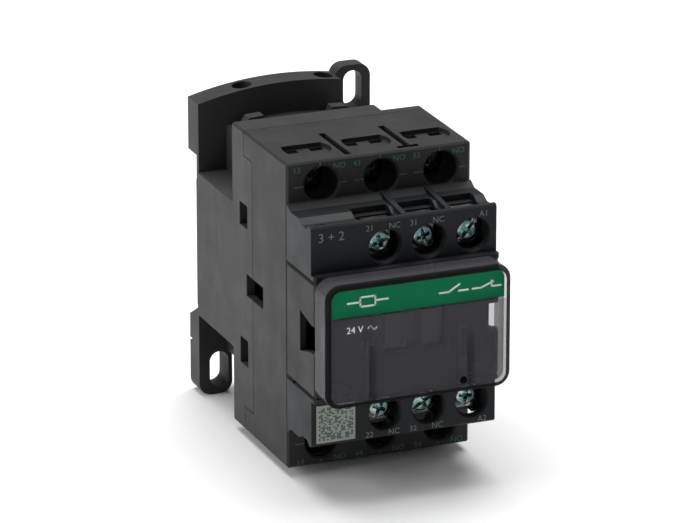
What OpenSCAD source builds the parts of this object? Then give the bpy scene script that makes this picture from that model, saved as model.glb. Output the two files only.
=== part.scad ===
// Control relay (small contactor) for a 35 mm rail, with three normally open poles,
// two normally closed poles and a coil. X is the width, Z is up, and the front faces -Y.
// The origin is the centre of the face that rests on the rail. Millimetres.

/* [Casing] */
// Width of the casing
body_w = 45; // [44:0.5:54]
// Height of the main casing
body_h = 73; // [72:0.5:84]
// Height over the two mounting ears
overall_h = 77; // [76:0.5:90]
// Depth of the magnet box, from the rail face to the back of the main casing
housing_d = 23.2; // [22:0.2:26]
// Depth of the parting line behind the power terminals, from the rail face
split_d = 30.8; // [30:0.2:33]
// How far the parting line steps forward between the terminals
split_jog = 5.3; // [4:0.1:6]
// Depth of the power terminal face, from the rail face
face_d = 57.2; // [56:0.2:60]
// Depth of the second tier in front of that face
block_d = 14.7; // [14:0.1:17]
// Half height of the second tier
block_z = 26.1; // [25:0.1:26.3]
// Height of the fillet where the second tier meets the terminal face
block_fillet = 1.2; // [0.6:0.1:1.4]
// Depth of the plinth and lip behind the clear cover
plinth_d = 2; // [1.6:0.1:2.4]
// Wall of the casings
wall = 2; // [1.6:0.1:2.4]
// Wall at the terminal faces
front_wall = 1.6; // [1.4:0.1:2]
// Chamfer on the outer edges
edge_c = 0.5; // [0.2:0.1:0.8]
// Gap at the parting line
split_gap = 0.2; // [0.1:0.05:0.3]

/* [Back and rail] */
// Distance from the rail face to the panel face of the ears
panel_gap = 5.1; // [4.6:0.1:6]
// Top of the magnet box
box_top = 17.6; // [17.5:0.1:18.5]
// Bottom of the magnet box, below centre
box_low = 18.4; // [18:0.1:19]
// Half height of the raised chamber behind the coil
chamber_z = 29.6; // [28:0.2:31]
// Half width of the raised chamber
chamber_x = 15.5; // [14:0.5:17]
// Thickness of the arched crown
crown_t = 6.8; // [6:0.2:7.4]
// Height of the arch at the middle
crown_z = 37.3; // [37:0.1:38]
// Radius of the arch
crown_r = 86; // [80:1:120]
// Side of the crown's end at the ear
crown_end = 13.4; // [13:0.1:13.8]
// Underside of the crown, above the rail
crown_under = 20.5; // [19.5:0.1:21]
// Diameter of the two holes in the crown
crown_hole_d = 4.8; // [4:0.1:5]
// Half distance between those holes
crown_hole_x = 10.3; // [9:0.1:10.5]
// Width of a mounting ear
ear_w = 9; // [8:0.1:9.4]
// Thickness of the upper ear
ear_top_t = 4; // [3.6:0.1:5]
// Thickness of the lower ear
ear_low_t = 6; // [4.5:0.1:6.4]
// Corner radius of the ears
ear_r = 3; // [2:0.1:3.4]
// Distance between the slots, across
slot_x = 35; // [34.5:0.5:36]
// Distance between the slots, up and down
slot_z = 65; // [64:0.5:66]
// Width of a slot
slot_w = 4.7; // [4.3:0.1:5]
// Length of a slot, end to end
slot_l = 9.2; // [8.4:0.1:9.6]
// Height of the rail
rail_h = 35; // [35:35]
// Thickness of the rail
rail_t = 1; // [1:0.1:1.2]
// How far the hooks reach behind the rail's edge
hook_over = 1.2; // [0.8:0.1:1.6]
// Step back of the rear face beyond the rail seat
seat_step = 0.3; // [0.2:0.1:0.4]
// Travel of the rail clip
clip_travel = 3; // [2:0.1:3]

/* [Power terminals] */
// Distance between power terminals
pole_pitch = 14.55; // [14.4:0.05:14.7]
// Side offset of the middle power terminal
pole_x = 0.6; // [0:0.1:0.8]
// Height of the power terminal screws
pole_z = 30.8; // [30.6:0.1:31]
// Diameter of a screwdriver hole
pole_hole_d = 8.1; // [7.6:0.1:8.4]
// Depth of the contact plates' front, from the rail face
plate_d = 45; // [44.6:0.1:45.4]
// Width of a contact plate
plate_w = 7; // [6.4:0.1:7.2]
// Thickness of a contact plate
plate_t = 1.2; // [1:0.1:1.4]
// Diameter of a terminal screw's thread
screw_d = 3.5; // [3:0.1:3.6]
// Diameter of its head
head_d = 6.4; // [6:0.1:6.6]
// Height of its head
head_h = 2.5; // [2.2:0.1:2.8]
// Length of its shank
screw_l = 8.6; // [8:0.1:9.4]
// Travel of the screw and its clamp when it is undone
screw_lift = 2.4; // [2:0.1:2.4]
// Width of a clamp washer
clamp_w = 7.6; // [7.2:0.1:7.8]
// Thickness of a clamp washer
clamp_t = 1; // [0.8:0.1:1.1]

/* [Front terminals] */
// Distance between front terminals
aux_pitch = 10.65; // [10.5:0.05:10.8]
// Side position of the middle front terminal
aux_x = 6.1; // [5.9:0.05:6.2]
// Height of the upper front screws
aux_z_up = 19.5; // [19.2:0.1:19.8]
// Depth below centre of the lower front screws
aux_z_low = 20.2; // [19.6:0.1:20.4]
// Diameter of a front screwdriver hole
aux_hole_d = 7.7; // [7.2:0.1:7.8]
// Distance of the front contact plates behind the front face
aux_plate_d = 6.6; // [6.4:0.1:6.8]
// Width of a front contact plate
aux_plate_w = 6.4; // [5.8:0.1:6.6]
// Thickness of a front contact plate
aux_plate_t = 1; // [0.8:0.1:1.1]
// Diameter of a front screw's head
aux_head_d = 5.8; // [5.4:0.1:6]
// Height of that head
aux_head_h = 2.2; // [2:0.1:2.4]
// Length of a front screw's shank
aux_screw_l = 6.8; // [6:0.1:7.4]
// Travel of a front screw when it is undone
aux_lift = 2.2; // [1.8:0.1:2.2]
// Width of a front clamp washer
aux_clamp_w = 6.8; // [6.4:0.1:6.9]
// Thickness of a front clamp washer
aux_clamp_t = 0.9; // [0.8:0.05:1]

/* [Contacts] */
// Travel of the carrier and armature
travel = 4; // [3.6:0.1:4]
// Opening between a moving and a fixed contact
contact_gap = 3; // [2.6:0.1:3]
// Diameter of a contact rivet
rivet_d = 3.2; // [2.8:0.1:3.4]
// Height of a contact rivet
rivet_h = 0.8; // [0.6:0.05:0.85]
// Width of a contact bridge
bridge_w = 5; // [4.4:0.1:5.2]
// Thickness of a contact bridge
bridge_t = 0.8; // [0.6:0.05:0.9]
// Height above centre of the power contact rivets
rivet_z = 9.6; // [9.4:0.1:10.2]
// Height above centre of the front contact rivets
aux_rivet_z = 6.9; // [6.8:0.1:7.2]
// Half height of the carrier's bar
bar_z = 4.6; // [4.2:0.1:4.8]
// Half height of the carrier's stem
stem_z = 4; // [3.6:0.1:4.2]
// Diameter of a contact spring
spring_d = 4.4; // [3.8:0.1:4.6]
// Thickness of the spring wire
wire_d = 0.5; // [0.4:0.05:0.6]

/* [Magnet and coil] */
// Half width of the magnet core
core_x = 18.5; // [17.5:0.1:18.8]
// Half thickness of the stack
core_z = 6; // [5:0.1:6.2]
// Depth of the fixed core's yoke
yoke_t = 6.2; // [5.6:0.1:6.4]
// Half width of the middle leg
leg_mid = 5; // [4.4:0.1:5.2]
// Width of an outer leg
leg_side = 6; // [5.4:0.1:6]
// Depth of the armature's yoke
arm_yoke = 5.5; // [5:0.1:5.6]
// Depth of the armature's legs
arm_leg = 3.5; // [3:0.1:3.6]
// Wall of the coil former
former_t = 1; // [0.8:0.1:1]
// Half height of the former's flanges
former_z = 14.6; // [14:0.1:14.8]
// Diameter of a return spring
return_d = 6; // [5:0.1:6.2]

/* [Front cover] */
// Depth of the clear cover
cover_d = 6.9; // [6:0.1:8]
// Half width of the clear cover
cover_x = 22.4; // [22:0.1:22.5]
// Top of the clear cover
cover_top = 14.8; // [14.4:0.1:14.9]
// Bottom of the clear cover, below centre
cover_low = 14.3; // [14:0.1:14.6]
// Corner radius of the clear cover
cover_r = 3.5; // [2.5:0.1:4]
// Wall of the clear cover
cover_t = 1.2; // [1:0.1:1.4]
// Height of the coloured band
band_h = 8; // [6:0.1:9]

/* [Hidden] */
$fn = 48;

// Seat gap between parts that touch, running gap of a screw, and free gap beside moving parts
seat = 0.05;
run = 0.05;
free = 0.3;
over = 1;      // overlap of a cutting body past the surface that it cuts
bead = 1.08;   // width of a spring's joining beads, against its wire

half_w = body_w / 2;
half_h = body_h / 2;
in_x = half_w - wall;
in_z = half_h - wall;
y_body = -housing_d;
y_split = -split_d;
y_jog = -(split_d + split_jog);
y_face = -face_d;
y_in = y_face + front_wall;
y_block = y_face - block_d;
y_plinth = y_block - plinth_d;
y_cover = y_plinth - cover_d;
jog_z = half_h - 5.9;          // where the parting line steps

cols = [pole_x - pole_pitch, pole_x, pole_x + pole_pitch];
aux_cols = [aux_x - aux_pitch, aux_x, aux_x + aux_pitch];

// Power contacts: the plate's front face, and the bridge at rest
y_plate = -plate_d;
y_seat = y_plate - seat - clamp_t - seat;
y_bridge = y_plate - rivet_h - seat - contact_gap - rivet_h - bridge_t;
y_stop = y_bridge + bridge_t + seat;
squeeze = travel - contact_gap;
tongue_z = rivet_z - 1.7;
y_bar = y_in + 0.5;
bar_wall = 1.3;

// Front contacts: the plate's front face, and the bridge at rest
y_aplate = y_block + aux_plate_d;
y_aseat = y_aplate - seat - aux_clamp_t - seat;
y_abridge = y_aplate + aux_plate_t + rivet_h + seat + rivet_h;
y_astop = y_abridge - squeeze - seat;
y_awin = y_abridge + bridge_t + contact_gap + squeeze;
atongue_z = aux_rivet_z - 2;

// Magnet, from the back wall forwards
y_cush = -(wall + 0.1);
cush_t = 1;
y_core = y_cush - cush_t - seat;
y_yoke = y_core - yoke_t;
y_arm = y_jog;
y_armface = y_arm + arm_yoke + arm_leg;
y_pole = y_armface + travel + seat;
former_l = [y_pole + 0.45, y_yoke - 0.2];
flange_t = 1.2;
flange_x = core_x - leg_side - 0.6;
spring_z = 10.5;

ear_z = overall_h / 2;
edge_z = rail_h / 2;
hook_lip = 0.6;                        // how far an upper hook's tip bends back over the rail
seat_z = edge_z - hook_over - hook_lip - 0.1;     // the rail seat ends just short of the hooks

// A box between two corners
module box(x0, x1, y0, y1, z0, z1)
  translate([x0, y0, z0]) cube([x1 - x0, y1 - y0, z1 - z0]);

// A round bar along Y
module ybar(x, z, r, y0, y1)
  translate([x, y1, z]) rotate([90, 0, 0]) cylinder(r = r, h = y1 - y0);

// A round bar along Z
module zbar(x, y, r, z0, z1)
  translate([x, y, z0]) cylinder(r = r, h = z1 - z0);

// Profiles extruded along each axis
module prism_y(p, y0, y1)
  translate([0, y1, 0]) rotate([90, 0, 0]) linear_extrude(height = y1 - y0) polygon(p);
module prism_x(p, x0, x1)
  translate([x0, 0, 0]) rotate([90, 0, 90]) linear_extrude(height = x1 - x0) polygon(p);
module prism_z(p, z0, z1)
  translate([0, 0, z0]) linear_extrude(height = z1 - z0) polygon(p);

// A rectangle with chamfered corners, as points
function rect_c(x0, x1, z0, z1, c) = [[x0 + c, z0], [x1 - c, z0], [x1, z0 + c], [x1, z1 - c],
  [x1 - c, z1], [x0 + c, z1], [x0, z1 - c], [x0, z0 + c]];

// A box along Y with rounded corners
module rbox(x0, x1, y0, y1, z0, z1, r) {
  box(x0 + r, x1 - r, y0, y1, z0, z1);
  box(x0, x1, y0, y1, z0 + r, z1 - r);
  for (x = [x0 + r, x1 - r], z = [z0 + r, z1 - r]) ybar(x, z, r, y0, y1);
}

// A casing block with chamfers on its long edges and round its front face
module casing_block(y0, y1, z0, z1, p) {
  c = edge_c;
  intersection() {
    prism_y(rect_c(-half_w, half_w, z0, z1, c), y0, y1);
    prism_z([[-half_w + c, y0], [half_w - c, y0], [half_w, y0 + c], [half_w, y1],
      [-half_w, y1], [-half_w, y0 + c]], z0 - over, z1 + over);
    prism_x(p, -half_w - over, half_w + over);
  }
}

// An upright slot through an ear
module ear_slot(x, z, y0, y1) {
  r = slot_w / 2;
  s = slot_l / 2 - r;
  ybar(x, z + s, r, y0, y1);
  ybar(x, z - s, r, y0, y1);
  box(x - r, x + r, y0, y1, z - s, z + s);
}

// A helical spring along Y: half turns that lean to and fro, joined by small beads
module coil_y(x, z, d, w, y0, y1, turns) {
  r = (d - w) / 2;
  p = (y1 - y0 - w) / turns;
  a = asin(p / (4 * r));
  translate([x, y0 + w / 2, z]) rotate([-90, 0, 0]) {
    for (k = [0:turns - 1]) {
      translate([0, 0, (k + 0.25) * p]) rotate([0, a, 0]) half_turn(r, w);
      translate([0, 0, (k + 0.75) * p]) rotate([0, a, 180]) half_turn(r, w);
      translate([-r * cos(a), 0, (k + 0.5) * p]) sphere(d = w * bead, $fn = 16);
    }
    for (k = [0:turns]) translate([r * cos(a), 0, k * p]) sphere(d = w * bead, $fn = 16);
  }
}
module half_turn(r, w)
  rotate_extrude(angle = 180, $fn = 32) translate([r, 0]) circle(d = w, $fn = 16);

// ---- Casings ----

module ears() {
  x = slot_x / 2;
  z = slot_z / 2;
  difference() {
    union() {
      // upper ear
      rbox(x - ear_w / 2, x + ear_w / 2, panel_gap - ear_top_t, panel_gap, crown_under, ear_z, ear_r);
      box(x - ear_w / 2, x + ear_w / 2, panel_gap - ear_top_t, panel_gap, crown_under, z);
      // lower ear, with the ramp that leads onto the rail
      rbox(-half_w, -half_w + ear_w - 0.7, panel_gap - ear_low_t, panel_gap, -ear_z, -z + ear_r, ear_r);
      prism_x([[panel_gap - ear_low_t, -z], [panel_gap, -z], [panel_gap, -edge_z - 2],
        [-0.2, -box_low + 2], [panel_gap - ear_low_t, -box_low + 2]], -half_w, -half_w + ear_w - 0.7);
    }
    ear_slot(x, z, panel_gap - ear_top_t - over, panel_gap + over);
    ear_slot(-x, -z, panel_gap - ear_low_t - over, panel_gap + over);
    box(-half_w - over, -half_w + ear_w, panel_gap - 1.4, panel_gap + over, -edge_z - 8.6, -edge_z - 7.9);
  }
}

module crown() {
  y0 = panel_gap - crown_t;
  c = 1.1;
  difference() {
    union() {
      intersection() {
        prism_y(rect_c(-half_w, crown_end, crown_under, crown_z + c, c), y0, panel_gap);
        translate([0, panel_gap, crown_z - crown_r]) rotate([90, 0, 0])
          cylinder(r = crown_r, h = crown_t, $fn = 96);
      }
      box(-half_w, half_w, y0, -seat_step, box_top - over, crown_under + over);
      box(crown_end - over, half_w - 0.4, y0, -seat_step, box_top, crown_under + 6);
    }
    for (s = [-1, 1]) zbar(s * crown_hole_x, y0 + crown_t / 2, crown_hole_d / 2, crown_z - 13, crown_z + over);
  }
}

// The two fixed hooks that hang on the rail's upper edge
module top_hooks() {
  for (s = [-1, 1])
    translate([s * 12, 0, 0]) {
      prism_x([[rail_t + free, edge_z - hook_over], [rail_t + free + 1, edge_z - hook_over - hook_lip],
        [rail_t + free + 2.2, edge_z - hook_over], [rail_t + free + 2.2, crown_under + over],
        [rail_t + free, crown_under + over]], -3, 3);
    }
}

// Rails that guide the clip, and the block that its spring bears on
clip_x = 8;
clip_y0 = free;
clip_flange = 2.2;
clip_y1 = 4.8;
clip_in = 6;
clip_low = -half_h + 0.2;
stop_z = -half_h + 3.3;
module clip_guide() {
  box(-clip_x - 2.4, clip_x + 2.4, -4, -seat_step, -half_h + 2.5, -box_low + over);
  for (s = [-1, 1]) scale([s, 1, 1]) {
    box(clip_x + free, clip_x + 2.4, -1, clip_y1 + 0.2, -half_h + 2.5, -edge_z - 2.6);
    box(clip_in + free + 0.1, clip_x + 2.4, clip_flange + free, clip_y1 + 0.2,
      -half_h + 2.5, -edge_z - 2.6);
  }
  box(-1.8, 1.8, -1, clip_y1 - 0.4, stop_z, stop_z + 1.7);
}

win_y = [y_body - 9.8, y_body - 4.9];     // side windows where the front half clips on
win_z = [[13.4, crown_under - wall + 0.5], [-20.4, -13.9]];

module rear_housing() color("#3b3b3d") {
  c = edge_c;
  y1 = y_split + split_gap / 2;
  yj = y_jog + split_gap / 2;
  zj = jog_z - split_gap / 2;
  difference() {
    union() {
      // flange behind the terminals
      intersection() {
        prism_y(rect_c(-half_w, half_w, -half_h, half_h, c), yj, y_body);
        prism_z([[-half_w, yj], [half_w, yj], [half_w, y_body - c], [half_w - c, y_body],
          [-half_w + c, y_body], [-half_w, y_body - c]], -half_h - over, half_h + over);
        prism_x([[y1, -half_h], [y_body - c, -half_h], [y_body, -half_h + c], [y_body, half_h - c],
          [y_body - c, half_h], [y1, half_h], [y1, zj], [yj, zj], [yj, -zj], [y1, -zj]],
          -half_w - over, half_w + over);
      }
      // magnet box and raised chamber
      prism_y(rect_c(-half_w, half_w, -box_low, box_top, 0.3), y_body - over, -seat_step);
      box(-half_w, half_w, -over, 0, -seat_z, seat_z);
      intersection() {
        box(-chamber_x, chamber_x, y_body - over, panel_gap - crown_t + 0.5, -chamber_z + 2, chamber_z + over);
        translate([0, 0, chamber_z - crown_r]) rotate([90, 0, 0])
          translate([0, 0, -panel_gap]) cylinder(r = crown_r, h = 2 * housing_d, $fn = 96);
      }
      for (s = [-1, 1]) scale([s, 1, 1])
        prism_y([[7.4, chamber_z - over - 0.4], [8.6, chamber_z + 2.3], [12.2, chamber_z + 2.1],
          [14.6, chamber_z - over - 0.4]], panel_gap - crown_t - 6.5, panel_gap - crown_t - 3.5);
      crown();
      ears();
      top_hooks();
      clip_guide();
    }
    // room for a screwdriver in front of the upper ear
    box(crown_end - 0.8, half_w + over, y_body - 5.1, y_body + over, crown_under, half_h + over);
    // hollow for the magnet and coil
    box(-in_x, in_x, y_jog - over, -wall, -box_low + wall, box_top - wall);
    box(-chamber_x + wall, chamber_x - wall, y_jog - over, panel_gap - crown_t - wall, -chamber_z + 4, chamber_z - 2.6);
    // hollow behind the power terminals
    difference() {
      box(-in_x, in_x, y_jog - over, y_body - wall, -in_z, in_z);
      box(crown_end - 0.8 - wall, half_w, y_body - 5.1 - wall, y_body, crown_under - wall, half_h);
      // walls beside the raised chamber, which stop short of the clip arms
      for (s = [-1, 1], z = [-box_low - 0.1, box_top - wall + 0.1])
        scale([s, 1, 1]) box(chamber_x - wall, half_w, win_y[1] + 0.2, y_body, z, z + wall);
    }
    // windows
    for (s = [-1, 1], z = win_z)
      box(s > 0 ? in_x - over : -half_w - over, s > 0 ? half_w + over : -in_x + over,
        win_y[0], win_y[1], z[0], z[1]);
    for (s = [-1, 1])
      box(s > 0 ? in_x - over : -half_w - over, s > 0 ? half_w + over : -in_x + over,
        y_jog - over, y_jog + 3.8, -2.8, 2.5);
  }
}

// Interphase slots lie between the power terminals
slot_cols = [pole_x - pole_pitch / 2 - 0.1, pole_x + pole_pitch / 2];
slot_wall = 1.2;
inter_w = 1.6;
cell_edge = inter_w / 2 + slot_wall;
cells = [[-in_x, slot_cols[0] - cell_edge], [slot_cols[0] + cell_edge, slot_cols[1] - cell_edge],
  [slot_cols[1] + cell_edge, in_x]];
tube_end = y_seat - screw_lift - free / 2;     // the lifted clamp stays behind it
stem_x = [aux_cols[0] - 3.8, aux_cols[1] + 3.8];
lead_x = [in_x - 2.4, in_x - 1.6];     // the coil leads run inside the clip arms
lead_z = [12.9, box_top - wall - 0.3];  // and under the magnet box's wall
entry_y = [y_plate - screw_lift + 0.1, y_plate - 0.1];

// One power terminal's tube, shelf and openings, for the upper row
module power_fill(i) {
  c = cells[i];
  difference() {
    union() {
      ybar(cols[i], pole_z, pole_hole_d / 2 + 1, y_in - 0.1, tube_end);
      box(c[0] - 0.1, c[1] + 0.1, y_plate + plate_t + seat, y_plate + plate_t + 3.4, pole_z - 9.6, in_z + 0.1);
    }
    ybar(cols[i], pole_z, pole_hole_d / 2, y_in - over, tube_end + over);
    ybar(cols[i], pole_z, screw_d / 2 + 0.5, y_plate, y_plate + plate_t + 4);
    // keeps the tube inside its own cell
    box(c[0] - 9, c[0] - 0.1, y_in - over, y_split, 0, half_h);
    box(c[1] + 0.1, c[1] + 9, y_in - over, y_split, 0, half_h);
    box(c[0] - 1, c[1] + 1, y_in - over, tube_end + over, in_z + 0.1, half_h + over);
  }
}

module power_cuts(i) {
  x = cols[i];
  ybar(x, pole_z, pole_hole_d / 2, y_face - over, y_in + 0.2);
  ybar(x, pole_z, head_d / 2 + free / 2, y_in, y_seat);     // room for the head under the top wall
  translate([x, y_face + 0.5, pole_z]) rotate([90, 0, 0])
    cylinder(r1 = pole_hole_d / 2, r2 = pole_hole_d / 2 + 1.1, h = 1);
  // funnel and two wire entries
  intersection() {
    zbar(x, entry_y[0] - 1, 5.6, half_h - 1.1, half_h + over);
    box(x - 6, x + 6, entry_y[0] - 8, entry_y[1] + 0.2, half_h - 2, half_h + over);
  }
  box(x - 5.3, x - 1.5, entry_y[0], entry_y[1], in_z - over, half_h + over);
  box(x + 1.5, x + 4.7, entry_y[0], entry_y[1], in_z - over, half_h + over);
}

module main_housing() color("#39393b") {
  ys = y_split - split_gap / 2;
  yj = y_jog - split_gap / 2;
  zj = jog_z + split_gap / 2;
  c = edge_c;
  difference() {
    union() {
      difference() {
        casing_block(y_face, y_split - split_gap / 2, -half_h, half_h,
          [[y_face + c, -half_h], [y_face, -half_h + c], [y_face, half_h - c], [y_face + c, half_h],
          [ys, half_h], [ys, zj], [yj, zj], [yj, -zj], [ys, -zj], [ys, -half_h]]);
        for (c = cells) box(c[0], c[1], y_in, y_split + over, -in_z, in_z);
        box(-in_x, in_x, y_in, y_split + over, -bar_z - 1.4, bar_z + 1.4);
      }
      for (i = [0:2], s = [-1, 1]) scale([1, 1, s]) power_fill(i);
      // arms that clip into the side windows
      for (s = [-1, 1], z = win_z)
        prism_z([[s * (in_x - 0.2), yj - 2], [s * (in_x - 0.2), win_y[0] + 0.4], [s * (in_x + 0.9), win_y[0] + 0.4],
          [s * (in_x - 0.2), win_y[1] - 0.6], [s * (in_x - 1.4), win_y[1] - 0.6], [s * (in_x - 1.4), yj - 4],
          [s * (in_x + 0.5), yj - 4], [s * (in_x + 0.5), yj - 2]], z[0] + 0.8, z[1] - 0.8);
    }
    for (i = [0:2], s = [-1, 1]) scale([1, 1, s]) power_cuts(i);
    for (x = slot_cols, s = [-1, 1]) scale([1, 1, s])
      box(x - inter_w / 2, x + inter_w / 2, y_in, y_plate + 5.8, pole_z - 1.8, half_h + over);
    for (s = [-1, 1]) scale([1, 1, s])
      box(slot_cols[1] - 2.6, slot_cols[1] + 2.6, y_in - 0.4, y_in + 1.2, half_h - 1.4, half_h + over);
    // way through for the carrier's stem and the coil leads
    box(stem_x[0] - 1, stem_x[1] + 1, y_face - over, y_in + over, -stem_z - 1, stem_z + 1);
    for (s = [-1, 1]) scale([1, 1, s])
      box(lead_x[0] - 0.4, lead_x[1] + 0.4, y_face - over, y_in + over, lead_z[0] - 0.4, lead_z[1] + 0.4);
    // shared side window
    for (s = [-1, 1])
      box(s > 0 ? in_x - over : -half_w - over, s > 0 ? half_w + over : -in_x + over,
        y_jog - 6.6, y_jog + over, -2.8, 2.5);
  }
}

// Second tier: an upper and a lower terminal shell joined by a back plate
seam_up = 13.5;
seam_low = 13.9;
shell_floor = 1.5;
rib_w = 1.2;
aux_walls = [aux_cols[0] + aux_pitch / 2 - 0.1, aux_cols[1] + aux_pitch / 2];
aux_cells = [[aux_cols[0] - 5.6, aux_walls[0] - rib_w / 2], [aux_walls[0] + rib_w / 2, aux_walls[1] - rib_w / 2],
  [aux_walls[1] + rib_w / 2, in_x + 0.4]];
yb = y_face - 0.1;
y_binside = y_block + 1.8;

// One terminal shell, drawn as the upper one: seam height, screw height
module tier_shell(seam, zc) {
  top = block_z;
  shelf = y_aplate + aux_plate_t + seat;
  difference() {
    union() {
      casing_block(y_plinth, yb, seam, top + 2, [[y_plinth, seam], [yb, seam], [yb, top + block_fillet],
        [yb - 0.6, top + block_fillet - 0.3], [yb - 2.2, top], [y_block + 7.4, top], [y_block + 5.4, top - 1],
        [y_block + 2.6, top - 1], [y_block + 1.3, top], [y_block + 0.5, top], [y_block, top - 0.5],
        [y_block, 15], [y_plinth, 15]]);
      // ribs between the wire pockets
      for (x = aux_walls)
        prism_x([[yb, top - over], [yb, top + block_fillet + 0.2], [yb - 2, top + 1], [y_block + 2, top],
          [y_block + 1, top - over]], x - rib_w / 2, x + rib_w / 2);
    }
    for (c = aux_cells) {
      box(c[0], c[1], y_binside, yb + over, seam + shell_floor, top - 1.6);
      box(c[0] + 0.4, c[1] - 0.9, y_block + 1.7, y_aplate + 2.8, top - 2, top + 3);
    }
    box(-in_x - 0.4, aux_cells[0][0] - 1.2, y_binside, yb + over, seam + shell_floor, top - 2.6);
    box(-half_w + 2.6, -half_w + 5, y_block + 1.6, y_block + 4.4, top - 2.4, top + over);
    for (i = [0:2]) {
      ybar(aux_cols[i], zc, aux_hole_d / 2, y_block - over, y_binside + over);
      translate([aux_cols[i], y_block + 0.4, zc]) rotate([90, 0, 0])
        cylinder(r1 = aux_hole_d / 2, r2 = aux_hole_d / 2 + 1, h = 1);
    }
    // slits for the contact tongues and the coil lead
    for (i = [0, 1])
      box(aux_cols[i] - aux_plate_w / 2 - 0.2, aux_cols[i] + aux_plate_w / 2 + 0.2, y_aplate - 0.3,
        y_aplate + aux_plate_t + 0.3, seam - over, seam + 2);
    box(lead_x[0] - 0.4, in_x + 0.4, y_aplate - 0.3, yb + over, seam - over, lead_z[1] + 0.5);
    box(-half_w - over, -half_w + 1, yb - 4.3, yb - 3.2, seam - over, seam + 0.5);
  }
  // shelves behind the plates
  for (i = [0:2])
    difference() {
      box(aux_cells[i][0] - 0.1, aux_cells[i][1] + 0.1, shelf, shelf + 2.6, zc - 2.9, top - 1.5);
      ybar(aux_cols[i], zc, screw_d / 2 + 0.4, shelf - over, shelf + 4);
    }
}

module front_block() color("#37373a") {
  tier_shell(seam_up, aux_z_up);
  scale([1, 1, -1]) tier_shell(seam_low, aux_z_low);
  difference() {
    box(-in_x - 0.3, in_x + 0.3, yb - 1.6, yb, -seam_low - 0.5, seam_up + 0.5);
    box(stem_x[0] - 1, stem_x[1] + 1, yb - 3, yb + over, -aux_rivet_z - 3, aux_rivet_z + 3);
    for (s = [-1, 1]) scale([1, 1, s])
      box(lead_x[0] - 0.4, half_w, yb - 3, yb + over, lead_z[0] - 0.4, lead_z[1] + 0.5);
  }
}

// Frame between the two shells, with the window for the carrier
module centre_frame() color("#363638") {
  y1 = yb - 0.2;
  z0 = -seam_low + split_gap / 2;
  z1 = seam_up - split_gap / 2;
  difference() {
    casing_block(y_plinth, y1, z0, z1, [[y_plinth + 0.3, z0], [y1, z0], [y1, z1], [y_plinth + 0.3, z1],
      [y_plinth, z1 - 0.3], [y_plinth, z0 + 0.3]]);
    box(-in_x - 0.4, in_x + 0.4, y_block + 0.1, y1 + over, z0 - over, z1 + over);
    box(stem_x[0], stem_x[1] + 0.1, y_plinth - over, y_block + over, -5.7, 6.2);
    // side notches for an add-on's hooks
    for (s = [-1, 1]) scale([s, 1, 1])
      prism_x([[y_plinth - over, -3.2], [y_plinth - over, 3.3], [y_block, 3.3], [y_block + 6.7, 4.8],
        [y_block + 6.7, -4.9], [y_block, -3.2]], in_x - 0.6, half_w + over);
    // slots for the cover's hooks
    for (s = [-1, 1]) box(s * 17 - 1.7, s * 17 + 1.7, y_plinth - over, y_block + over, z0 + 1.2, z0 + 3.4);
  }
}

module data_label() color("#7f8a80")
  box(-half_w + 1.2, -half_w + 10.6, y_block - 0.15, y_block, -block_z + 0.8, -cover_low - 2);

// ---- Magnet and coil ----

module coil_former() color("#2f2d2b") {
  x = leg_mid + free;
  z = core_z + free;
  difference() {
    union() {
      box(-x - former_t, x + former_t, former_l[0], former_l[1], -z - former_t, z + former_t);
      for (y = [former_l[0], former_l[1] - flange_t])
        rbox(-flange_x, flange_x, y, y + flange_t, -former_z, former_z, 1);
    }
    box(-x, x, former_l[0] - over, former_l[1] + over, -z, z);
  }
}

module coil_winding() color("#8a4a22") {
  x = leg_mid + free + former_t + 0.05;
  z = core_z + free + former_t + 0.05;
  y0 = former_l[0] + flange_t + 0.05;
  y1 = former_l[1] - flange_t - 0.05;
  difference() {
    rbox(-flange_x + 0.8, flange_x - 0.8, y0, y1, -former_z + 1.2, former_z - 1.2, 3);
    box(-x, x, y0 - over, y1 + over, -z, z);
  }
}

ring_x = [core_x - leg_side / 2 + 0.55, core_x - leg_side / 2 - 0.55];
ring_t = 1.1;
module fixed_core() color("#8b8d90")
  difference() {
    union() {
      box(-core_x, core_x, y_yoke, y_core, -core_z, core_z);
      box(-leg_mid, leg_mid, y_pole, y_yoke + over, -core_z, core_z);
      for (s = [-1, 1]) scale([s, 1, 1])
        box(core_x - leg_side, core_x, y_pole, y_yoke + over, -core_z, core_z);
    }
    for (s = [-1, 1]) scale([s, 1, 1])
      box(ring_x[1] - 0.05, ring_x[0] + 0.05, y_pole - over, y_pole + 1.5, -core_z - over, core_z + over);
  }

module shading_rings() color("#b06a3b")
  for (s = [-1, 1]) scale([s, 1, 1])
    difference() {
      box(ring_x[1], core_x + ring_t, y_pole + 0.2, y_pole + 1.3, -core_z - ring_t, core_z + ring_t);
      box(ring_x[0], core_x + 0.03, y_pole - over, y_pole + 2, -core_z - 0.03, core_z + 0.03);
    }

module core_cushion() color("#1f1f1f")
  difference() {
    box(-core_x + 3, core_x - 3, y_cush - cush_t, y_cush, -core_z, core_z);
    for (s = [-1, 1]) ybar(s * 8, 0, 2, y_cush - 2, y_cush + over);
  }

module armature() color("#8f9194") {
  box(-core_x, core_x, y_arm, y_arm + arm_yoke, -core_z, core_z);
  box(-leg_mid, leg_mid, y_arm, y_armface, -core_z, core_z);
  for (s = [-1, 1]) scale([s, 1, 1])
    box(core_x - leg_side, core_x, y_arm, y_armface, -core_z, core_z);
}

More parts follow.
